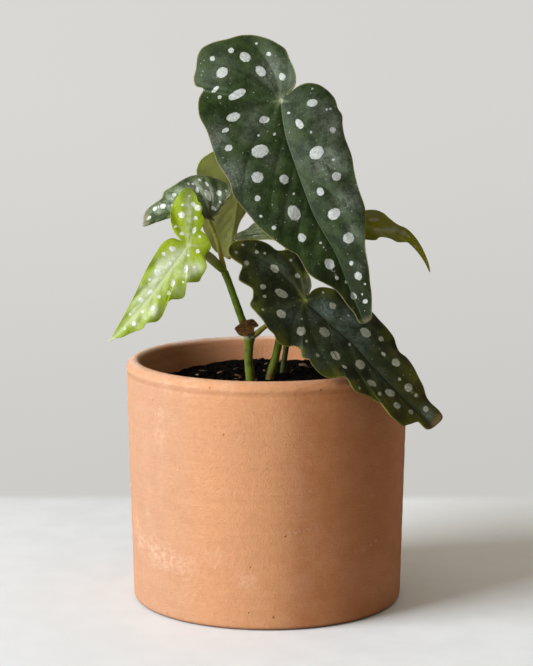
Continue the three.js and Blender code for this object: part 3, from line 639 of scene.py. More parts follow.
def blade(leaf, look, thickness=BLADE):
    """The leaf's sheet in rings about the petiole, with veins and puffed fields, as a closed body."""
    spine = Spine(leaf)
    around, rings = look["count"]
    outline = rim_points(leaf, around)
    turn = np.arange(around) / around
    shares = np.linspace(0, 1, rings + 1)[1:]
    uv = np.vstack([[[0, 0]], (shares[:, None, None] * outline).reshape(-1, 2)])
    rim = np.concatenate([[0], np.repeat(shares, around)])
    round_ = np.concatenate([[0], np.tile(turn, rings)])
    sparse = outline[:: around // MARGIN_POINTS]
    margin = distance_to(np.vstack([sparse, sparse[:1]]), uv)[0]

    lines = vein_lines(look, spine.length)
    fields = [distance_to(line, uv) for line in lines]
    nearest = np.min([d for d, _ in fields], axis=0)
    veins = [np.exp(-((d / VEIN_WIDTH) ** 2)) * (1 - VEIN_FADE * share) for d, share in fields[1:]]
    vein = np.max(veins, axis=0)
    valley = np.exp(-((nearest / VALLEY_WIDTH) ** 2))
    puff = 1 - np.exp(-((nearest / PUFF_REACH) ** 2))
    quiet = smooth(0, STILL_CENTRE, np.linalg.norm(uv, axis=1)) * (1 - STILL_RIM * rim**8)
    quilting = look["quilt"] * quiet * (puff - VALLEY_DEPTH * valley - PUFF_MIDDLE)
    rise = relief(leaf, look, uv, rim, round_) + quilting
    points = spine.place(uv, rise)

    ring = 1 + np.arange(rings)[:, None] * around + np.arange(around)
    a, b = ring[:-1], np.roll(ring[:-1], -1, 1)
    c, d = np.roll(ring[1:], -1, 1), ring[1:]
    quads = np.stack([a, d, c, b], -1).reshape(-1, 4)
    fan = np.stack([np.zeros(around, int), ring[0], np.roll(ring[0], -1)], 1)
    triangles = np.vstack([fan, quads[:, [0, 1, 2]], quads[:, [0, 2, 3]]])
    normals = point_normals(points, triangles)
    half = (thickness / 2 * (1 - THINNING * rim**10))[:, None]
    n = len(points)
    edge = ring[-1]
    wall = np.stack([edge, n + edge, n + np.roll(edge, -1), np.roll(edge, -1)], 1)
    faces = [fan, quads, n + fan[:, ::-1], n + quads[:, ::-1], wall]
    dry = smooth(spine.length - DRY_BEFORE, spine.length + DRY_BEYOND, uv[:, 0])
    # pale and painted sheen: patches of painted highlight and painted light, with the young leaf's own pale
    # zones
    pale_and_painted_sheen = np.zeros(n)
    for along, across, radius, strength in look["pale_and_painted_sheen"]:
        away = np.linalg.norm(uv - [along, across], axis=1) / radius
        pale_and_painted_sheen = np.maximum(pale_and_painted_sheen, strength * np.exp(-(away**2)))
    first, out = share_out(leaf, look, uv)
    lift = np.where(first, *look["lift"]) * MM * out**2 * smooth(LIFT_FROM, LIFT_TO, uv[:, 0])
    spot, spot_place = spot_fields(look["spots"], uv)
    both = {
        "leaf": np.column_stack([uv, np.zeros(n)]),
        "spot": spot,
        "spot_place": spot_place,
        "rib": uv[:, 1] - rib(look, uv[:, 0]),
        "lift": lift,
        "vein": vein,
        "valley": valley * quiet,
        "margin": margin,
        "dry": dry,
        "pale_and_painted_sheen": pale_and_painted_sheen,
    }
    attributes = {key: np.concatenate([value, value]) for key, value in both.items()}
    attributes["under"] = np.concatenate([np.zeros(n), np.ones(n)])
    skin = np.vstack([points + normals * half, points - normals * half])
    return mesh_object(leaf["name"] + "_blade", skin, faces, attributes)


SMALL_SPOT = 0.85  # a spot of this radius or less is drawn in the material, which is finer than the mesh


def spot_fields(spots, uv):
    """For the larger spots: distance outside the nearest in millimetres, and the place within it.

    The place is [along, across, mean radius] with the spot's edge at a distance of 1. It changes evenly over
    the blade, so the mesh carries it without loss.
    """
    nearest = np.full(len(uv), 4.0)
    inside = np.tile([3.0, 0, 1], (len(uv), 1))
    for along, across, radius, *rest in spots:
        wide, angle = rest if rest else (radius, 0)
        mean = (radius + wide) / 2
        if mean > SMALL_SPOT:
            turn = math.radians(angle)
            x, y = (uv - [along, across]).T
            one = (x * math.cos(turn) + y * math.sin(turn)) / radius
            other = (y * math.cos(turn) - x * math.sin(turn)) / wide
            outside = (np.hypot(one, other) - 1) * mean
            closer = outside < nearest
            nearest[closer] = outside[closer]
            inside[closer] = np.stack([one, other, np.full(len(uv), mean)], 1)[closer]
    return nearest, inside


def large_spots(shader):
    """Distance outside the nearest larger spot, exact near its edge."""
    inside = shader.vector("spot_place")
    flat = shader.put("ShaderNodeVectorMath", inside, (1, 1, 0), operation="MULTIPLY")
    away = shader.math("SUBTRACT", shader.length(flat), 1.0)
    away = shader.times(away, shader.split(inside)[2])
    return shader.math("MAXIMUM", away, shader.math("SUBTRACT", shader.number("spot"), 0.9))


def small_spots(shader, where, spots, nearest):
    """The same with the small spots, all of them round."""
    for along, across, radius, *rest in spots:
        if (radius + (rest[0] if rest else radius)) / 2 <= SMALL_SPOT:
            away = shader.distance(where, (along, across, 0))
            nearest = shader.math("MINIMUM", nearest, shader.math("SUBTRACT", away, radius))
    return nearest


# Each kind of leaf. low, high: its mottled body. pale and painted sheen: the colour of the painted highlights
# and painted light. spot, vein, rib: their colours. star: where the veins meet. edge: a strip inside the
# margin,
# band millimetres wide, banded strong, and broken up between two noise values. hem: the margin itself. dry:
# the very tip. under, under_rib: the lower face. glow: how much light comes through. rough: the roughness.
# veil: how much of the pale and painted sheen is left where the mottle is weakest.
COMMON_TONE = {"band": 2.0, "banded": 0.5, "broken": (0.3, 0.5), "veil": 0.25}
UNSEEN_FACE = {
    "low": (0.03, 0.05, 0.016), "high": (0.07, 0.1, 0.035), "spot": (0.6, 0.64, 0.56),
    "vein": (0.03, 0.05, 0.015), "rib": (0.14, 0.2, 0.05), "star": (0.3, 0.34, 0.2),
    "dry": (0.14, 0.12, 0.06), "rough": 0.55,
}
TONES = {
    "dark": {
        "low": (0.009, 0.018, 0.003), "high": (0.03, 0.052, 0.013), "pale_and_painted_sheen": (0.165, 0.185, 0.15),
        "spot": (0.5, 0.53, 0.49), "vein": (0.012, 0.022, 0.005), "rib": (0.08, 0.125, 0.055),
        "star": (0.3, 0.34, 0.2), "edge": (0.035, 0.05, 0.012), "hem": (0.19, 0.18, 0.07), "band": 3.0,
        "banded": 0.6, "broken": (0.4, 0.6), "dry": (0.16, 0.14, 0.08), "under": (0.13, 0.115, 0.035),
        "under_rib": (0.22, 0.2, 0.08), "glow": 0.05, "rough": 0.43,
    },
    "lower": {
        "low": (0.0055, 0.008, 0.001), "high": (0.019, 0.026, 0.0065), "pale_and_painted_sheen": (0.085, 0.112, 0.092),
        # spot: a darker, greyer copy of the top leaf's spots, painted shade for a leaf that hangs in shade
        "spot": (0.26, 0.265, 0.2), "vein": (0.012, 0.016, 0.006), "rib": (0.05, 0.07, 0.03),
        "star": (0.16, 0.18, 0.04), "edge": (0.055, 0.057, 0.002), "hem": (0.16, 0.15, 0.03), "band": 9.0,
        "banded": 0.9, "broken": (0.42, 0.6), "dry": (0.16, 0.1, 0.045), "under": (0.13, 0.09, 0.03),
        "under_rib": (0.2, 0.15, 0.07), "glow": 0.05, "rough": 0.45,
    },
    "young": {
        "low": (0.28, 0.38, 0.006), "high": (0.4, 0.5, 0.045), "pale_and_painted_sheen": (0.74, 0.79, 0.62), "veil": 0.7,
        "spot": (0.93, 0.95, 0.88), "vein": (0.5, 0.6, 0.24), "rib": (0.6, 0.68, 0.4),
        "star": (0.66, 0.74, 0.4), "edge": (0.26, 0.36, 0.005), "hem": (0.3, 0.38, 0.03), "band": 6.0,
        "banded": 0.9, "broken": (0.2, 0.4), "dry": (0.7, 0.66, 0.5), "under": (0.34, 0.42, 0.08),
        "under_rib": (0.45, 0.5, 0.16), "glow": 0.3, "rough": 0.5,
    },
    "small": {
        "low": (0.04, 0.065, 0.02), "high": (0.13, 0.175, 0.08), "pale_and_painted_sheen": (0.44, 0.49, 0.38),
        "spot": (0.8, 0.84, 0.76), "vein": (0.028, 0.042, 0.014), "rib": (0.1, 0.13, 0.05),
        "star": (0.1, 0.035, 0.02), "edge": (0.06, 0.07, 0.02), "hem": (0.3, 0.31, 0.16),
        "dry": (0.25, 0.23, 0.14), "under": (0.16, 0.075, 0.035), "under_rib": (0.22, 0.13, 0.06),
        "glow": 0.08, "rough": 0.46,
    },
    "inner": {
        "low": (0.045, 0.08, 0.015), "high": (0.16, 0.22, 0.06), "pale_and_painted_sheen": (0.5, 0.54, 0.4),
        "spot": (0.66, 0.7, 0.62), "vein": (0.035, 0.06, 0.012), "rib": (0.1, 0.14, 0.04),
        "star": (0.1, 0.035, 0.02), "edge": (0.06, 0.07, 0.01), "hem": (0.3, 0.31, 0.12),
        "dry": (0.25, 0.23, 0.14), "under": (0.17, 0.16, 0.03), "under_rib": (0.22, 0.2, 0.05),
        "glow": 0.1, "rough": 0.46,
    },
    "underside": {
        **UNSEEN_FACE,
        "pale_and_painted_sheen": (0.74, 0.84, 0.24), "edge": (0.34, 0.36, 0.1), "hem": (0.4, 0.4, 0.16), "banded": 0.4,
        "under": (0.46, 0.47, 0.13), "under_rib": (0.46, 0.49, 0.15), "glow": 0.4,
    },
    "back": {
        **UNSEEN_FACE,
        "pale_and_painted_sheen": (0.2, 0.25, 0.18), "edge": (0.17, 0.17, 0.005), "hem": (0.26, 0.23, 0.1),
        "under": (0.15, 0.145, 0.002), "under_rib": (0.19, 0.18, 0.01), "glow": 0.2,
    },
}


def leaf_material(name, kind, look, length):
    tone = {**COMMON_TONE, **TONES[kind]}
    band = tone["band"]
    s = Shader(name)
    uv = s.vector("leaf")
    grain = s.noise(uv, 0.9, 4, 0.6)
    broad = s.noise(uv, 0.09, 2, 0.5)
    outside = small_spots(s, uv, look["spots"], large_spots(s))
    outside = s.math("ADD", outside, s.ramp(s.noise(uv, 0.7, 2, 0.5), 0.25, 0.75, -0.16, 0.2))
    spot = s.ramp(outside, -0.16, 0.16, 1, 0)
    rib_width = s.ramp(s.math("ABSOLUTE", s.number("rib")), 0.15, 0.5, 1, 0)
    along = s.split(uv)[0]
    on_rib = s.times(rib_width, s.ramp(along, -0.5, 0.8))
    on_rib = s.times(on_rib, s.ramp(along, 12.0, length, 1, 0.35))
    away = s.length(uv)
    star = s.ramp(away, 0.5, 2, 1, 0)
    star = s.math("MAXIMUM", star, s.times(s.number("vein"), s.ramp(away, 1, 6, 0.45, 0)))

    mottle = s.noise(uv, 0.28, 4, 0.65)
    body = s.mix(s.ramp(s.math("MULTIPLY_ADD", mottle, 0.9, broad), 0.75, 1.15), tone["low"], tone["high"])
    body = s.mix(s.ramp(grain, 0.4, 0.75, 0, 0.4), body, tone["high"])
    if "tip" in look:
        start, end, share, tint = look["tip"]
        body = s.mix(s.ramp(along, start, end, 0, share), body, tint)
    # paler patches of painted highlight and painted light, thinned where the mottle is weakest
    pale = s.number("pale_and_painted_sheen")
    pale = s.times(pale, s.ramp(s.math("ADD", mottle, grain), 0.75, 1.25, tone["veil"], 1))
    body = s.mix(pale, body, tone["pale_and_painted_sheen"])
    body = s.mix(s.times(s.number("vein"), 0.65), body, tone["vein"])
    edge = s.math("ADD", s.number("margin"), s.ramp(broad, 0.3, 0.7, -0.25 * band, 0.25 * band))
    banded = s.times(s.ramp(edge, 0.1 * band, band, tone["banded"], 0), s.ramp(broad, *tone["broken"]))
    body = s.mix(banded, body, tone["edge"])
    hem = s.ramp(s.number("margin"), 0.15, 0.6, 1, 0)
    hem = s.times(hem, s.ramp(grain, 0.35, 0.55, 0.3, 0.9))
    body = s.mix(hem, body, tone["hem"])
    dust = s.ramp(s.cells(uv, 0.42), 0.05, 0.12, 0.8, 0)
    dust = s.times(dust, s.ramp(broad, 0.4, 0.55, 0.25, 1))
    body = s.mix(dust, body, tone["spot"])
    spot_colour = s.mix(s.ramp(grain, 0.38, 0.62), tone["spot"], scaled(tone["spot"], 0.72))
    body = s.mix(s.times(spot, 0.95), body, spot_colour)
    # a dark band either side of the midrib: painted shade in its fold
    midrib_painted_shade = s.times(s.ramp(s.math("ABSOLUTE", s.number("rib")), 0.3, 1.6, 0.7, 0), s.ramp(along, 1.0, 8.0))
    body = s.mix(midrib_painted_shade, body, tone["vein"])
    body = s.mix(on_rib, body, tone["rib"])
    body = s.mix(s.times(star, 0.8), body, tone["star"])
    upper = s.mix(s.number("dry"), body, tone["dry"])

    under = s.mix(s.ramp(broad, 0.3, 0.75), scaled(tone["under"], 0.75), tone["under"])
    under = s.mix(s.ramp(grain, 0.4, 0.75, 0, 0.25), under, scaled(tone["under"], 1.3))
    # the same painted light on the lower face
    under = s.mix(s.number("pale_and_painted_sheen"), under, tone["pale_and_painted_sheen"])
    under = s.mix(s.times(spot, 0.6), under, (0.34, 0.25, 0.17))
    under = s.mix(s.times(s.number("vein"), 0.4), under, tone["under_rib"])
    under = s.mix(s.times(rib_width, 0.7), under, tone["under_rib"])
    under = s.mix(s.ramp(s.number("margin"), 0.3, 1.6, 0.6, 0), under, tone["edge"])

    colour = s.mix(s.number("under"), upper, under)
    rough = s.ramp(grain, 0.3, 0.75, tone["rough"] - 0.05, tone["rough"] + 0.12)
    rough = s.math("MULTIPLY_ADD", spot, 0.12, rough)
    pebble = s.math("MULTIPLY_ADD", s.noise(uv, 2.2, 2, 0.5), 0.5, grain)
    normal = s.bump(pebble, 0.00045, 0.6, s.bump(s.number("lift"), 1.0))
    surface = s.principled(colour, rough, normal, Specular_IOR_Level=0.16)
    through = s.put("ShaderNodeBsdfTranslucent", colour, normal)
    both = s.put("ShaderNodeMixShader", tone["glow"], surface, through)
    return s.finish(both)


SLOTS = {"young": "leaf_young", "underside": "leaf_underside", "back": "leaf_underside"}  # else leaf_dark
for leaf in LEAVES:
    look = LOOKS[leaf["name"]]
    kind = look["material"]
    dressed = blade(leaf, look)
    material = leaf_material(leaf["name"], kind, look, Spine(leaf).length)
    piece(dressed, material, SLOTS.get(kind, "leaf_dark"), leaf["name"])


# ---- Dried stipule ----

DRIED_STIPULE = {
    "name": "dried_stipule",
    "at": [-9.8, -6.9, 132.5], "tip": [-4.1, -7.9, 133.9],
    "bulge": [0, 0, 0], "facing": [0, -1, 0.12],
    "cup": [-1.4, -1], "crest": 0.5, "frill": [4, 0.5],
    "edge": [
        [-2.3, 2.7], [-1.9, 3.8], [1.1, 3.7], [4, 3.3], [5.1, 1.9], [5.9, -0.2], [3.8, -0.7], [3.2, -2.2],
        [0.9, -3.6], [-2.5, -3.6], [-4.3, -2.5], [-5.3, -0.4], [-5.7, 0.9], [-3.7, 2.2],
    ],
}

STIPULE_LOOK = {
    "count": (160, 36), "angle": 50, "reach": 6, "quilt": 0.7, "lift": [0, 0],
    "rib": [[0, 0], [6, 0.1]],
    "basal": [],
    "laterals": [0.1, 0.45, 0.8],
    "pale_and_painted_sheen": [],
    "spots": [],
}


def stipule_material():
    s = Shader("dried_stipule")
    uv = s.vector("leaf")
    grain = s.noise(uv, 1.6, 4, 0.65)
    streaks = s.noise(s.stretched(uv, (0.35, 1.6, 1)), 1, 3, 0.6)
    colour = s.mix(s.ramp(streaks, 0.35, 0.68), (0.03, 0.012, 0.0015), (0.16, 0.075, 0.008))
    colour = s.mix(s.ramp(grain, 0.5, 0.8, 0, 0.5), colour, (0.24, 0.13, 0.03))
    # painted shade in the valleys of the crumpled stipule
    colour = s.mix(s.times(s.number("valley"), 0.6), colour, (0.015, 0.007, 0.003))
    normal = s.bump(s.math("ADD", grain, streaks), 0.0012, 1.0)
    return s.finish(s.principled(colour, 0.6, normal, Specular_IOR_Level=0.15))


piece(blade(DRIED_STIPULE, STIPULE_LOOK, 0.6), stipule_material(), "dried_stipule", "dried_stipule")


# ---- Canes and petioles ----
# Each route is a list of [x, y, z, radius]. Its tones are colours along it, evenly spaced from foot to end.

CANES = {
    "cane_left": [
        # the stem
        [
            [-8.1, -1, 94.5, 2.2], [-8.1, -1.2, 107, 2.25], [-8.9, -2, 117, 2.1], [-8.6, -2.8, 124, 2.2],
            [-8.6, -3, 127.5, 2.9], [-10.5, -3, 132, 2.05], [-15.6, -4, 146.5, 1.75],
            [-18.6, -4, 155, 1.7], [-20.7, -4, 160, 2],
        ],
        # the petiole to the small dark leaf on the left
        [
            [-20.2, -4, 158.8, 1.5], [-21.9, -4, 166.7, 1.15], [-23.8, -3, 174.2, 1],
            [-25.9, -0.8, 179.6, 1], [-27.1, 0.5, 182.2, 0.95], [-27.3, -1.1, 183.8, 0.8],
        ],
        # the petiole to the young leaf, wrapped in its sheath
        [
            [-20.3, -4, 159, 1.5], [-22.6, -4.9, 161.6, 1.9], [-26, -6.2, 165.2, 2.3],
            [-29.4, -8, 168.4, 2], [-33.5, -9.6, 171.2, 1.3], [-36.4, -10.6, 172.4, 1.05],
            [-36.8, -12.9, 172.9, 0.9],
        ],
        # the petiole to the big lower leaf
        [
            [-8.4, -3, 127.4, 1.9], [-5.3, -6, 129.4, 1.5], [-2.4, -12, 132.8, 1.25],
            [6.1, -28, 141.5, 1.2], [14, -38.4, 146.8, 1.2], [17, -43.1, 150.4, 1],
        ],
    ],
    "cane_main": [
        # the stem
        [
            [1.2, 2, 94.5, 2], [1.4, 2, 107, 2.1], [4.3, 2, 117.5, 1.9], [6.7, 1.2, 130.2, 1.85],
            [8.3, 0, 147, 1.8], [9, -0.5, 152, 2.5], [9.5, -1.2, 156, 1.8], [10, -3.6, 169, 1.7],
            [10.2, -5, 180, 1.7], [10.2, -5.6, 184, 2.3], [10, -6.2, 188, 1.6], [9.4, -8, 200, 1.5],
            [9, -9, 206, 2.1], [8.6, -10, 211, 1.5], [7.8, -13.5, 222, 1.35], [7.1, -17.8, 232, 1.3],
            [6.7, -21.4, 239, 1.3], [6.5, -25, 241.1, 1.1],
        ],
        # the petiole to the back right leaf
        [
            [9, -0.5, 152.4, 1.6], [15, 1.4, 160, 1.2], [24, 3.4, 167, 1.1], [33.5, 7.2, 172.6, 1.1],
            [37.6, 9.8, 175.8, 1], [37.6, 11.4, 178.6, 0.9],
        ],
        # the petiole to the back left leaf
        [
            [10.2, -5.6, 184.4, 1.5], [4, 0, 189, 1.1], [-5, 12, 193.8, 1], [-11.4, 24.4, 196, 1],
            [-13, 30, 198, 0.9],
        ],
    ],
    "shoot_back": [
        # the stem
        [
            [7.6, 18, 94.5, 1.5], [7.8, 18, 107, 1.5], [9.2, 17.2, 118, 1.35], [10, 17, 124, 1.7],
            [10.8, 16.8, 128, 1.25], [13, 16.8, 145, 1.15], [15.2, 17, 160, 1.05],
            [16.3, 17.3, 169.5, 1.05], [16, 16.3, 174.2, 0.95],
        ],
    ],
}
TONES_ALONG = {
    "cane_left": [
        [
            (0.12, 0.1, 0.02), (0.14, 0.17, 0.018), (0.13, 0.18, 0.018), (0.12, 0.17, 0.012),
            (0.07, 0.12, 0.003), (0.09, 0.16, 0.003), (0.1, 0.14, 0.004),
        ],
        [(0.2, 0.19, 0.02), (0.44, 0.36, 0.05), (0.46, 0.44, 0.07), (0.44, 0.42, 0.08)],
        [
            (0.12, 0.17, 0.01), (0.17, 0.25, 0.02), (0.4, 0.36, 0.15), (0.4, 0.43, 0.08),
            (0.3, 0.38, 0.04),
        ],
        [(0.17, 0.16, 0.035), (0.1, 0.08, 0.01), (0.085, 0.06, 0.008), (0.09, 0.07, 0.02)],
    ],
    "cane_main": [
        [
            (0.2, 0.12, 0.03), (0.09, 0.16, 0.006), (0.09, 0.17, 0.006), (0.12, 0.21, 0.012),
            (0.1, 0.13, 0.03), (0.1, 0.13, 0.03), (0.11, 0.14, 0.03),
        ],
        [(0.12, 0.14, 0.04), (0.12, 0.09, 0.03), (0.13, 0.1, 0.04)],
        [(0.12, 0.14, 0.04), (0.13, 0.12, 0.04), (0.13, 0.11, 0.04)],
    ],
    "shoot_back": [
        [(0.03, 0.035, 0.01), (0.03, 0.05, 0.008), (0.06, 0.08, 0.02), (0.1, 0.1, 0.03)],
    ],
}
SCARS = [[-8.6, -4.2, 114.7, 1.3], [-10.2, -4.6, 121, 0.8], [8, -2, 139, 1], [1.6, 0.4, 107.8, 1.4]]
COLLARS = [[-8.6, -3, 127.7, 1.0]]  # pale rings at the nodes: [x, y, z, half height]
LIMB_SIDES, LIMB_STEP, LIMB_UNEVEN = 20, 0.7, 0.035


def limb(route, tones):
    """A round limb along a route, closed at both ends: its points, faces and colours."""
    line = curve(route, False)
    total = np.linalg.norm(np.diff(line[:, :3], axis=0), axis=1).sum()
    line = spaced(line, max(8, int(total / LIMB_STEP)), False)
    centre, radius = line[:, :3], line[:, 3]
    share = np.linspace(0, 1, len(line))
    along = share * total
    radius = radius * (1 + LIMB_UNEVEN * np.sin(along * 0.9 + radius[0] * 7) * np.sin(along * 0.31))
    dome = np.minimum(share, 1 - share) * total / np.maximum(radius, 0.1)
    radius = radius * np.sqrt(np.clip(1 - (1 - np.clip(dome, 0, 1)) ** 2, 0.02, 1))
    tangent = unit(np.gradient(centre, axis=0))
    across = [unit(np.cross(tangent[0], [0.1, 0.95, 0.2]))]
    for direction in tangent[1:]:
        across.append(unit(across[-1] - across[-1] @ direction * direction))
    across = np.array(across)
    other = np.cross(tangent, across)
    angle = 2 * np.pi * np.arange(LIMB_SIDES) / LIMB_SIDES
    around = across[:, None] * np.cos(angle)[:, None] + other[:, None] * np.sin(angle)[:, None]
    points = (centre[:, None] + around * radius[:, None, None]).reshape(-1, 3)
    quads, fans = tube_faces(len(line), LIMB_SIDES)
    points = np.vstack([points, centre[:1], centre[-1:]])
    tones = np.array(tones)
    colour = np.stack([np.interp(share, np.linspace(0, 1, len(tones)), column) for column in tones.T], 1)
    colour = np.vstack([np.repeat(colour, LIMB_SIDES, 0), colour[:1], colour[-1:]])
    return points, quads, fans, colour


def cane(name):
    points, faces, colours, first = [], [], [], 0
    for route, tones in zip(CANES[name], TONES_ALONG[name]):
        new, quads, fans, colour = limb(route, tones)
        points.append(new)
        faces += [quads + first, fans + first]
        colours.append(colour)
        first += len(new)
    points = np.vstack(points)
    scar = np.max([np.exp(-((np.linalg.norm(points - s[:3], axis=1) / s[3]) ** 2)) for s in SCARS], axis=0)
    ring = np.max(
        [
            np.exp(-(((points[:, 2] - z) / tall) ** 2)) * (np.linalg.norm(points - [x, y, z], axis=1) < 4)
            for x, y, z, tall in COLLARS
        ],
        axis=0,
    )
    attributes = {"tint": np.vstack(colours), "scar": scar, "collar": ring}
    return mesh_object(name + "_skin", points, faces, attributes)


def stem_material():
    s = Shader("stem")
    place = s.place()
    streaks = s.noise(s.stretched(place, (1.6, 1.6, 0.12)), 1, 4, 0.6)
    grain = s.noise(place, 2.4, 3, 0.6)
    tint = s.vector("tint")
    colour = s.mix(s.ramp(streaks, 0.3, 0.7, 0.4, 0), tint, (0.04, 0.04, 0.004))
    colour = s.mix(s.ramp(grain, 0.5, 0.8, 0, 0.2), colour, (0.2, 0.23, 0.04))
    specks = s.cells(s.stretched(place, (1, 1, 0.6)), 0.5)
    colour = s.mix(s.ramp(specks, 0.08, 0.17, 0.45, 0), colour, (0.3, 0.3, 0.15))
    colour = s.mix(s.times(s.number("collar"), 0.75), colour, (0.42, 0.46, 0.26))
    colour = s.mix(s.times(s.number("scar"), 0.9), colour, (0.06, 0.03, 0.015))
    normal = s.bump(s.math("ADD", streaks, grain), 0.0003, 0.6)
    rough = s.ramp(grain, 0.3, 0.7, 0.42, 0.56)
    return s.finish(s.principled(colour, rough, normal, Specular_IOR_Level=0.18))


stem = stem_material()
for name in CANES:
    piece(cane(name), stem, "stem", name)


# ---- Pot ----

POT_HEIGHT, POT_RIM, POT_FOOT, POT_WALL, POT_FLOOR = 117, 67.5, 64.7, 6.5, 9
LIP_ROUND, LIP_INSIDE, FOOT_ROUND, FLOOR_FILLET = 4.2, 2.3, 2.6, 4
GROOVE, GROOVE_DEPTH, GROOVE_WIDTH = 111.6, 0.3, 1.0  # a shallow turned line under the lip
POT_SIDES, SOIL_SIDES, DRILL_SIDES = 256, 192, 48
DRAIN_HOLES, DRAIN_RADIUS, DRAIN_CIRCLE = 3, 4.5, 22


def inner_radius(height):
    return POT_FOOT - POT_WALL + (POT_RIM - POT_FOOT) * height / POT_HEIGHT


def arc(radius, height, size, start, end, steps):
    angle = np.radians(np.linspace(start, end, steps))
    return np.stack([radius + size * np.cos(angle), height + size * np.sin(angle)], 1)


def pot_profile():
    """[radius, height] from the middle of the base, up the outside, over the lip and down to the floor."""
    outer_line = np.linspace(FOOT_ROUND, POT_HEIGHT - LIP_ROUND, 90)
    outer = POT_FOOT + (POT_RIM - POT_FOOT) * outer_line / (POT_HEIGHT - LIP_ROUND)
    ripple = 0.03 * np.sin(outer_line * 0.9) + 0.04 * np.sin(outer_line * 0.47 + 1)
    outer = outer + ripple * smooth(4, 14, outer_line) * smooth(117, 108, outer_line)
    outer = outer - GROOVE_DEPTH * np.exp(-(((outer_line - GROOVE) / GROOVE_WIDTH) ** 2))
    inner_line = np.linspace(POT_HEIGHT - LIP_INSIDE, POT_FLOOR + FLOOR_FILLET, 40)[1:]
    fillet = inner_radius(POT_FLOOR) - FLOOR_FILLET
    return np.vstack(
        [
            np.stack([np.linspace(0, POT_FOOT - FOOT_ROUND, 14)[:-1], np.zeros(13)], 1),
            arc(POT_FOOT - FOOT_ROUND, FOOT_ROUND, FOOT_ROUND, -90, 0, 8),
            np.stack([outer, outer_line], 1)[1:],
            arc(POT_RIM - LIP_ROUND, POT_HEIGHT - LIP_ROUND, LIP_ROUND, 0, 90, 16)[1:],
            arc(POT_RIM - LIP_ROUND, POT_HEIGHT - LIP_INSIDE, LIP_INSIDE, 90, 180, 10)[1:],
            np.stack([inner_radius(inner_line), inner_line], 1),
            arc(fillet, POT_FLOOR + FLOOR_FILLET, FLOOR_FILLET, 0, -90, 8)[1:],
            np.stack([np.linspace(fillet, 0, 14)[1:], np.full(13, POT_FLOOR)], 1),
        ]
    )


def lathe(profile, sides):
    """Points and faces of a profile turned about the Z axis. Its first and last points are on the axis."""
    angle = 2 * np.pi * np.arange(sides) / sides
    rings = profile[1:-1]
    radius, height = rings.T
    x, y = np.outer(radius, np.cos(angle)), np.outer(radius, np.sin(angle))
    points = np.stack([x, y, np.outer(height, np.ones(sides))], -1).reshape(-1, 3)
    points = np.vstack([points, [[0, 0, profile[0, 1]], [0, 0, profile[-1, 1]]]])
    return points, tube_faces(len(rings), sides)


def drilled(thing):
    """The same mesh with the drainage holes cut through the base."""
    cutters = []
    for i in range(DRAIN_HOLES):
        angle = 2 * np.pi * (i + 0.25) / DRAIN_HOLES
        above = POT_FLOOR + 2
        tube = np.array([[0, -2], [DRAIN_RADIUS, -2], [DRAIN_RADIUS, above], [0, above]], float)
        points, faces = lathe(tube, DRILL_SIDES)
        points = points + [DRAIN_CIRCLE * np.cos(angle), DRAIN_CIRCLE * np.sin(angle), 0]
        cutters.append(mesh_object(f"drain_{i}", points, faces))
        cut = thing.modifiers.new(f"drain_{i}", "BOOLEAN")
        cut.operation, cut.solver, cut.object = "DIFFERENCE", "EXACT", cutters[-1]
    shaped = thing.evaluated_get(bpy.context.evaluated_depsgraph_get())
    mesh = bpy.data.meshes.new_from_object(shaped)
    thing.modifiers.clear()
    thing.data = mesh
    for cutter in cutters:
        bpy.data.objects.remove(cutter)
    return thing


# Marks that show in the clay, each [x, y, z, radius]
PITS = [
    [8.6, -65.3, 45.2, 0.35], [32.4, -56, 1.4, 0.35], [3.1, -64.8, 6.7, 0.35], [-7.5, -65, 30.5, 0.25],
    [-8.4, -64.4, 8.7, 0.25], [-46.9, -44.7, 2.9, 0.3], [50.3, -42.6, 48.6, 0.4],
    [48.5, -45.5, 74.2, 0.3], [-19.7, -64, 92.5, 0.3], [24.7, -62.8, 113, 0.4], [-26, -62.3, 113.8, 0.25],
    [-53, -41.5, 104.3, 0.25], [54, -36.5, 62, 0.4], [40, -53, 9, 0.3],
]
BLOOMS = [
    [-56.3, -34.3, 47.7, 2], [-59.9, -26.5, 33, 6], [-46.8, -45.8, 29.5, 7], [-38.3, -53, 27.5, 6],
    [-24, -61, 34.6, 4], [-10, -64.5, 24, 5], [-53.2, -38.2, 30.7, 7], [-50.3, -44.5, 98.7, 4],
    [-62, -20, 40, 6], [-50.3, -44.5, 88, 3], [-46, -47.5, 114.5, 5], [-34, -57, 114.5, 6],
    [-18, -63.5, 114.5, 5],
]
SCRATCHES = [
    [-12.7, -65.9, 97.9, 0.7], [-11.2, -66.1, 96, 0.7], [-9.8, -66.3, 94, 0.8], [10, -65, 46.6, 1.4],
    [14, -64.3, 47.4, 1.6], [19, -63, 48, 1.4], [23.5, -61.6, 48.6, 1], [41.5, -50.7, 34.4, 0.9],
    [45, -47.8, 34.8, 1], [48.5, -44, 36, 0.9], [51, -41.2, 37, 0.6], [20, -62.5, 88, 1],
    [-57, -32, 78, 1], [49, -44.5, 60, 0.8], [16.5, -63, 74, 1.6], [19, -62.5, 66, 1.8],
    [15, -63.5, 57, 1.6], [-55, -36, 69, 0.8], [-53, -39, 62, 0.7], [-49, -44, 101, 0.8],
    [-48.6, -44.6, 96, 0.8],
]


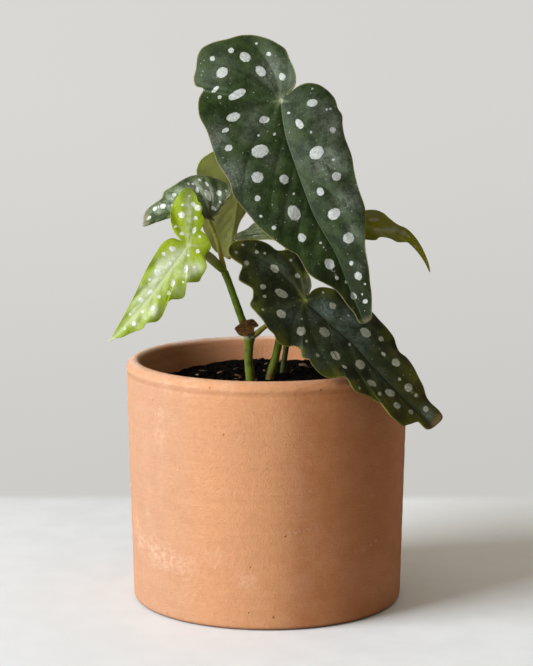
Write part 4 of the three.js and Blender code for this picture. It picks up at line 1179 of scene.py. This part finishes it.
def terracotta():
    s = Shader("terracotta")
    place = s.place()
    broad = s.noise(place, 0.022, 3, 0.55)
    cloud = s.noise(place, 0.11, 4, 0.6)
    lumps = s.noise(place, 0.42, 3, 0.6)
    grain = s.noise(place, 1.5, 4, 0.65)
    sand = s.noise(place, 4.5, 2, 0.6)
    turned = s.noise(s.stretched(place, (0.012, 0.012, 0.7)), 1, 4, 0.6)
    _, y, z = s.split(place)
    # side: how far a place lies towards the window at the left front
    side = s.put("ShaderNodeVectorMath", place, (-0.0125, -0.0075, 0), out=1, operation="DOT_PRODUCT")

    colour = s.mix(s.ramp(cloud, 0.3, 0.7), (0.43, 0.158, 0.053), (0.485, 0.192, 0.07))
    # paler towards the window: painted light, standing in for the washed-out lit side of the clay
    painted_lit_side = s.math("ADD", side, s.ramp(cloud, 0.25, 0.75, -0.12, 0.12))
    colour = s.mix(s.ramp(painted_lit_side, 0.1, 0.95, 0, 0.37), colour, (0.47, 0.4, 0.31))
    # darker on the side turned from the window, less so at its far edge: painted shade
    away = s.times(s.ramp(side, -0.3, 0.2, 0.6, 0), s.ramp(side, -0.62, -0.42, 0.35, 1))
    colour = s.mix(away, colour, (0.3, 0.1, 0.03))
    # brighter orange where the clay faces the window: painted light
    facing = s.ramp(s.math("ABSOLUTE", s.math("SUBTRACT", side, 0.62)), 0.12, 0.4, 0.72, 0)
    colour = s.mix(facing, colour, (0.63, 0.295, 0.13))
    colour = s.mix(s.ramp(broad, 0.52, 0.72, 0, 0.3), colour, (0.52, 0.25, 0.13))
    colour = s.mix(s.ramp(turned, 0.42, 0.72, 0, 0.1), colour, (0.38, 0.13, 0.043))
    colour = s.mix(s.ramp(lumps, 0.35, 0.6, 0.14, 0), colour, (0.36, 0.12, 0.04))
    colour = s.mix(s.ramp(grain, 0.54, 0.72, 0, 0.42), colour, (0.56, 0.28, 0.145))
    colour = s.mix(s.ramp(sand, 0.3, 0.42, 0.3, 0), colour, (0.36, 0.14, 0.06))
    speckled = s.ramp(s.math("ADD", lumps, s.times(grain, 0.6)), 0.6, 1.0)
    bloom = s.times(s.ramp(ball_distance(s, place, BLOOMS), -6.0, 3.5, 0.45, 0), speckled)
    colour = s.mix(bloom, colour, (0.68, 0.46, 0.33))
    scratch = s.ramp(ball_distance(s, place, SCRATCHES), -1.3, 0.9, 1, 0)
    scratch = s.times(scratch, s.ramp(grain, 0.47, 0.55))
    colour = s.mix(s.times(scratch, 0.6), colour, (0.64, 0.37, 0.23))
    # a dark line along the turned groove under the lip: painted shade
    line = s.ramp(s.math("ABSOLUTE", s.math("SUBTRACT", z, GROOVE - 0.1)), 0.3, 1.5, 0.3, 0)
    colour = s.mix(s.times(line, s.ramp(lumps, 0.35, 0.55, 0.3, 1)), colour, (0.26, 0.09, 0.03))
    # a paler band on the lip above the groove: painted highlight
    lip = s.times(s.ramp(z, 112.4, 113.6), s.ramp(lumps, 0.3, 0.7, 0.2, 0.4))
    colour = s.mix(lip, colour, (0.62, 0.32, 0.16))
    middle = s.put("ShaderNodeVectorMath", place, (1, 1, 0), operation="MULTIPLY")
    inside = s.ramp(s.length(middle), 61.0, 63.0, 0.6, 0)
    colour = s.mix(inside, colour, (0.67, 0.32, 0.16))
    # paler top of the rim, stronger towards the back: partly a pale bloom on the clay, partly painted
    # highlight
    top = s.times(s.ramp(z, 115.2, 116.8, 0, 0.85), s.ramp(cloud, 0.3, 0.6, 0.4, 1))
    top = s.times(top, s.ramp(y, -50.0, 10.0, 0.15, 1))
    colour = s.mix(top, colour, (0.66, 0.52, 0.42))
    # darker at the very foot: painted contact shadow
    colour = s.mix(s.ramp(z, 0.3, 2.0, 0.6, 0), colour, (0.13, 0.055, 0.03))
    pores = s.cells(place, 0.34)
    pore = s.times(s.ramp(pores, 0.03, 0.09, 1, 0), s.ramp(broad, 0.45, 0.6))
    pit = s.ramp(ball_distance(s, place, PITS), -0.15, 0.3, 1, 0)
    dark = s.math("MAXIMUM", pore, pit)
    colour = s.mix(s.times(dark, 0.75), colour, (0.15, 0.055, 0.025))

    height = s.math("MULTIPLY_ADD", turned, 0.4, s.times(grain, 0.8))
    height = s.math("MULTIPLY_ADD", sand, 0.4, height)
    height = s.math("MULTIPLY_ADD", lumps, 0.7, height)
    height = s.math("MULTIPLY_ADD", scratch, 0.7, height)
    height = s.math("MULTIPLY_ADD", dark, -1.2, height)
    normal = s.bump(height, 0.0011, 0.65)
    rough = s.ramp(grain, 0.3, 0.7, 0.72, 0.86)
    return s.finish(s.principled(colour, rough, normal, Specular_IOR_Level=0.3))


def ball_distance(shader, where, balls):
    """Distance outside the nearest ball in millimetres."""
    nearest = None
    for x, y, z, radius in balls:
        away = shader.distance(where, (x, y, z))
        outside = shader.math("SUBTRACT", away, radius)
        nearest = outside if nearest is None else shader.math("MINIMUM", nearest, outside)
    return nearest


pot_points, pot_faces = lathe(pot_profile(), POT_SIDES)
piece(drilled(mesh_object("clay_pot", pot_points, pot_faces)), terracotta(), "terracotta", "pot")


# ---- Potting mix ----

SOIL_LEVEL, SOIL_FOOT = 106.5, 13.5
SOIL_RINGS = 100
GRID, GRID_MIDDLE = 80, 39
LEFT_DIP = 2.8
CRUMBS, CRUMB_REACH, CRUMB_SUNK = 620, 58.6, 0.7
LOOSE_CHIPS, CHIP_REACH = 34, 56
LARGE_CHIPS, LARGER = 3, 1.4


def uneven(x, y, size, height):
    """Smooth random lumps of a size, as heights from 0 down."""
    cells = RANDOM.random((GRID, GRID))
    gx, gy = x / size + GRID_MIDDLE, y / size + GRID_MIDDLE
    i, j = np.floor(gx).astype(int), np.floor(gy).astype(int)
    fx, fy = smooth(0, 1, gx - i), smooth(0, 1, gy - j)
    a = cells[i, j] * (1 - fx) + cells[i + 1, j] * fx
    b = cells[i, j + 1] * (1 - fx) + cells[i + 1, j + 1] * fx
    return -height * (a * (1 - fy) + b * fy)


def soil_dip(x):
    """The mix lies lower towards the left wall."""
    return LEFT_DIP * smooth(-12, -50, x)


def soil_body():
    across = np.linspace(0, inner_radius(SOIL_LEVEL) - 0.1, SOIL_RINGS)
    top = np.stack([across, np.full(SOIL_RINGS, SOIL_LEVEL)], 1)
    profile = np.vstack([[[0, SOIL_FOOT], [inner_radius(SOIL_FOOT) - 0.3, SOIL_FOOT]], top[::-1]])
    points, faces = lathe(profile, SOIL_SIDES)
    x, y = points[:, 0], points[:, 1]
    dip = uneven(x, y, 7, 1.4) + uneven(x, y, 3.1, 1.1) + uneven(x, y, 1.7, 0.7)
    points[:, 2] += np.where(points[:, 2] > SOIL_LEVEL - 1, dip + 0.6 - soil_dip(x), 0)
    return points, faces


def ball(detail):
    """A ball of unit size as points and triangles."""
    made = bmesh.new()
    bmesh.ops.create_icosphere(made, subdivisions=detail, radius=1)
    points = np.array([v.co for v in made.verts])
    triangles = np.array([[v.index for v in face.verts] for face in made.faces])
    made.free()
    return points, triangles


def scattered(name, places, sizes, detail, rough):
    """Lumps at [x, y, z], each squashed to its three sizes and turned at random, in one mesh."""
    shape, triangles = ball(detail)
    points, faces = [], []
    for i, (place, size) in enumerate(zip(places, sizes)):
        lump = shape * (1 + rough * RANDOM.standard_normal(len(shape)))[:, None] * size
        a, b, c = RANDOM.uniform(0, 2 * np.pi), RANDOM.uniform(-0.5, 0.5), RANDOM.uniform(-0.5, 0.5)
        turn = np.array([[math.cos(a), -math.sin(a), 0], [math.sin(a), math.cos(a), 0], [0, 0, 1]])
        tilt = np.array([[1, 0, 0], [0, math.cos(b), -math.sin(b)], [0, math.sin(b), math.cos(b)]])
        lean = np.array([[math.cos(c), 0, math.sin(c)], [0, 1, 0], [-math.sin(c), 0, math.cos(c)]])
        points.append(lump @ (turn @ tilt @ lean).T + place)
        faces.append(triangles + i * len(shape))
    lots = np.repeat(RANDOM.random(len(places)), len(shape))
    return mesh_object(name, np.vstack(points), faces, {"lot": lots})


def soil_material(name, low, high):
    s = Shader(name)
    place = s.place()
    grain = s.noise(place, 1.1, 5, 0.7)
    fibres = s.noise(s.stretched(place, (0.4, 1.4, 1)), 1.3, 4, 0.7)
    colour = s.mix(s.ramp(grain, 0.4, 0.75), low, high)
    colour = s.mix(s.ramp(fibres, 0.6, 0.75, 0, 0.5), colour, scaled(high, 2.2))
    normal = s.bump(s.math("ADD", grain, fibres), 0.001, 0.9)
    return s.finish(s.principled(colour, 0.95, normal, Specular_IOR_Level=0.03))


def on_soil(count, reach):
    radius = reach * np.sqrt(RANDOM.random(count))
    angle = RANDOM.uniform(0, 2 * np.pi, count)
    x, y = radius * np.cos(angle), radius * np.sin(angle)
    return np.stack([x, y, SOIL_LEVEL - soil_dip(x)], 1)


CHIPS = [
    [20, 29.5, 107.1], [17.6, 35, 107.3], [27.3, 26.7, 107.1], [-12.8, 2.2, 106.8], [-31, 22, 106.6],
    [38, -20, 106.4],
]

dark_mix = soil_material("potting_mix", (0.0016, 0.0014, 0.001), (0.0078, 0.006, 0.004))
piece(mesh_object("potting_mix", *soil_body()), dark_mix, "potting_mix", "soil")
crumb_sizes = RANDOM.uniform(0.5, 1.5, (CRUMBS, 1)) * RANDOM.uniform(0.7, 1.2, (CRUMBS, 3))
crumb_places = on_soil(CRUMBS, CRUMB_REACH) - [0, 0, CRUMB_SUNK]
piece(scattered("crumbs", crumb_places, crumb_sizes, 1, 0.12), dark_mix, "potting_mix")
chip_places = np.vstack([CHIPS, on_soil(LOOSE_CHIPS, CHIP_REACH)])
chip_sizes = RANDOM.uniform([1.4, 0.7, 0.25], [2.8, 1.3, 0.5], (len(chip_places), 3))
chip_sizes[:LARGE_CHIPS] *= LARGER
bark = soil_material("bark", (0.08, 0.05, 0.03), (0.3, 0.21, 0.13))
piece(scattered("chips", chip_places, chip_sizes, 1, 0.1), bark, "potting_mix")


# ---- Table, light and camera ----

def floor_material():
    """A pale table top that ends in a soft line behind the plant, with the paler room beyond it."""
    s = Shader("floor")
    place = s.place()
    x, y, _ = s.split(place)
    beyond = s.ramp(y, 189.0, 211.0)
    grain = s.noise(place, 0.05, 3, 0.5)
    # painted light: the table gets paler to the right and towards the back, evening out the window's falloff
    light = s.times(s.ramp(x, -120.0, 120.0, 0.93, 1.1), s.ramp(y, -130.0, 150.0, 0.95, 1.06))
    light = s.math("ADD", light, s.ramp(grain, 0.3, 0.7, -0.018, 0.018))
    table = s.mix(s.ramp(light, 0.85, 1.2), (0.598, 0.617, 0.625), (0.84, 0.868, 0.88))
    surface = s.principled(table, 0.6)
    # beyond the soft line the room glows: painted light standing in for a lit wall, paler further back and a
    # little darker to the right
    depth = s.math("LOGARITHM", s.math("MAXIMUM", y, 200.0), 10.0)
    tone = s.math("MULTIPLY_ADD", s.ramp(depth, 2.3, 3.6), 0.075, 0.6)
    aside = s.math("DIVIDE", x, s.math("ADD", s.math("MAXIMUM", y, 200.0), 1100.0))
    tone = s.times(tone, s.ramp(aside, -0.12, 0.12, 1.02, 0.98))
    room = s.put("ShaderNodeEmission", (1, 0.99, 0.955, 1), tone)
    return s.finish(s.put("ShaderNodeMixShader", beyond, surface, room))


FAR = 40000
SKY_LOW, SKY_HIGH = 0.03, 0.62
CORNERS = [[-FAR, -FAR, 0], [FAR, -FAR, 0], [FAR, FAR, 0], [-FAR, FAR, 0]]
floor = mesh_object("floor", CORNERS, [[[0, 1, 2, 3]]])
floor.data.materials.append(floor_material())

scene = bpy.context.scene
world = bpy.data.worlds.new("room")
world.use_nodes = True
nodes, links = world.node_tree.nodes, world.node_tree.links
up = nodes.new("ShaderNodeSeparateXYZ")
links.new(nodes.new("ShaderNodeTexCoord").outputs["Generated"], up.inputs[0])
height = nodes.new("ShaderNodeMapRange")
links.new(up.outputs[2], height.inputs[0])
height.inputs[3].default_value, height.inputs[4].default_value = SKY_LOW, SKY_HIGH
links.new(height.outputs[0], nodes["Background"].inputs[1])
nodes["Background"].inputs[0].default_value = (1, 0.9, 0.74, 1)
scene.world = world

WINDOW_AWAY, WINDOW_AZIMUTH, WINDOW_HEIGHT = 1.2, math.radians(62), math.radians(25)
WINDOW_SIZE, WINDOW_POWER = 0.75, 27
window = bpy.data.objects.new("window", bpy.data.lights.new("window", "AREA"))
window.data.size = WINDOW_SIZE
window.data.energy = WINDOW_POWER
window.data.color = (0.97, 1, 1.05)
level = WINDOW_AWAY * math.cos(WINDOW_HEIGHT)
rise = 0.1 + WINDOW_AWAY * math.sin(WINDOW_HEIGHT)
window.location = (-level * math.sin(WINDOW_AZIMUTH), -level * math.cos(WINDOW_AZIMUTH), rise)
window.rotation_euler = (math.pi / 2 - WINDOW_HEIGHT, 0, -WINDOW_AZIMUTH)
window.visible_camera = False
scene.collection.objects.link(window)

CAMERA_PLACE, CAMERA_TILT = (0, -1.1, 0.3102), math.radians(9.36)
CAMERA_LENS, PHOTO_ASIDE, PHOTO_HEIGHT = 125.57, -0.54, 666  # the last two in pixels
camera = bpy.data.cameras.new("camera")
camera.lens, camera.sensor_width = CAMERA_LENS, 36
camera.shift_x = PHOTO_ASIDE / PHOTO_HEIGHT
view = bpy.data.objects.new("camera", camera)
view.location = CAMERA_PLACE
view.rotation_euler = (math.pi / 2 - CAMERA_TILT, 0, 0)
scene.collection.objects.link(view)
scene.camera = view
scene.view_settings.view_transform = "Standard"
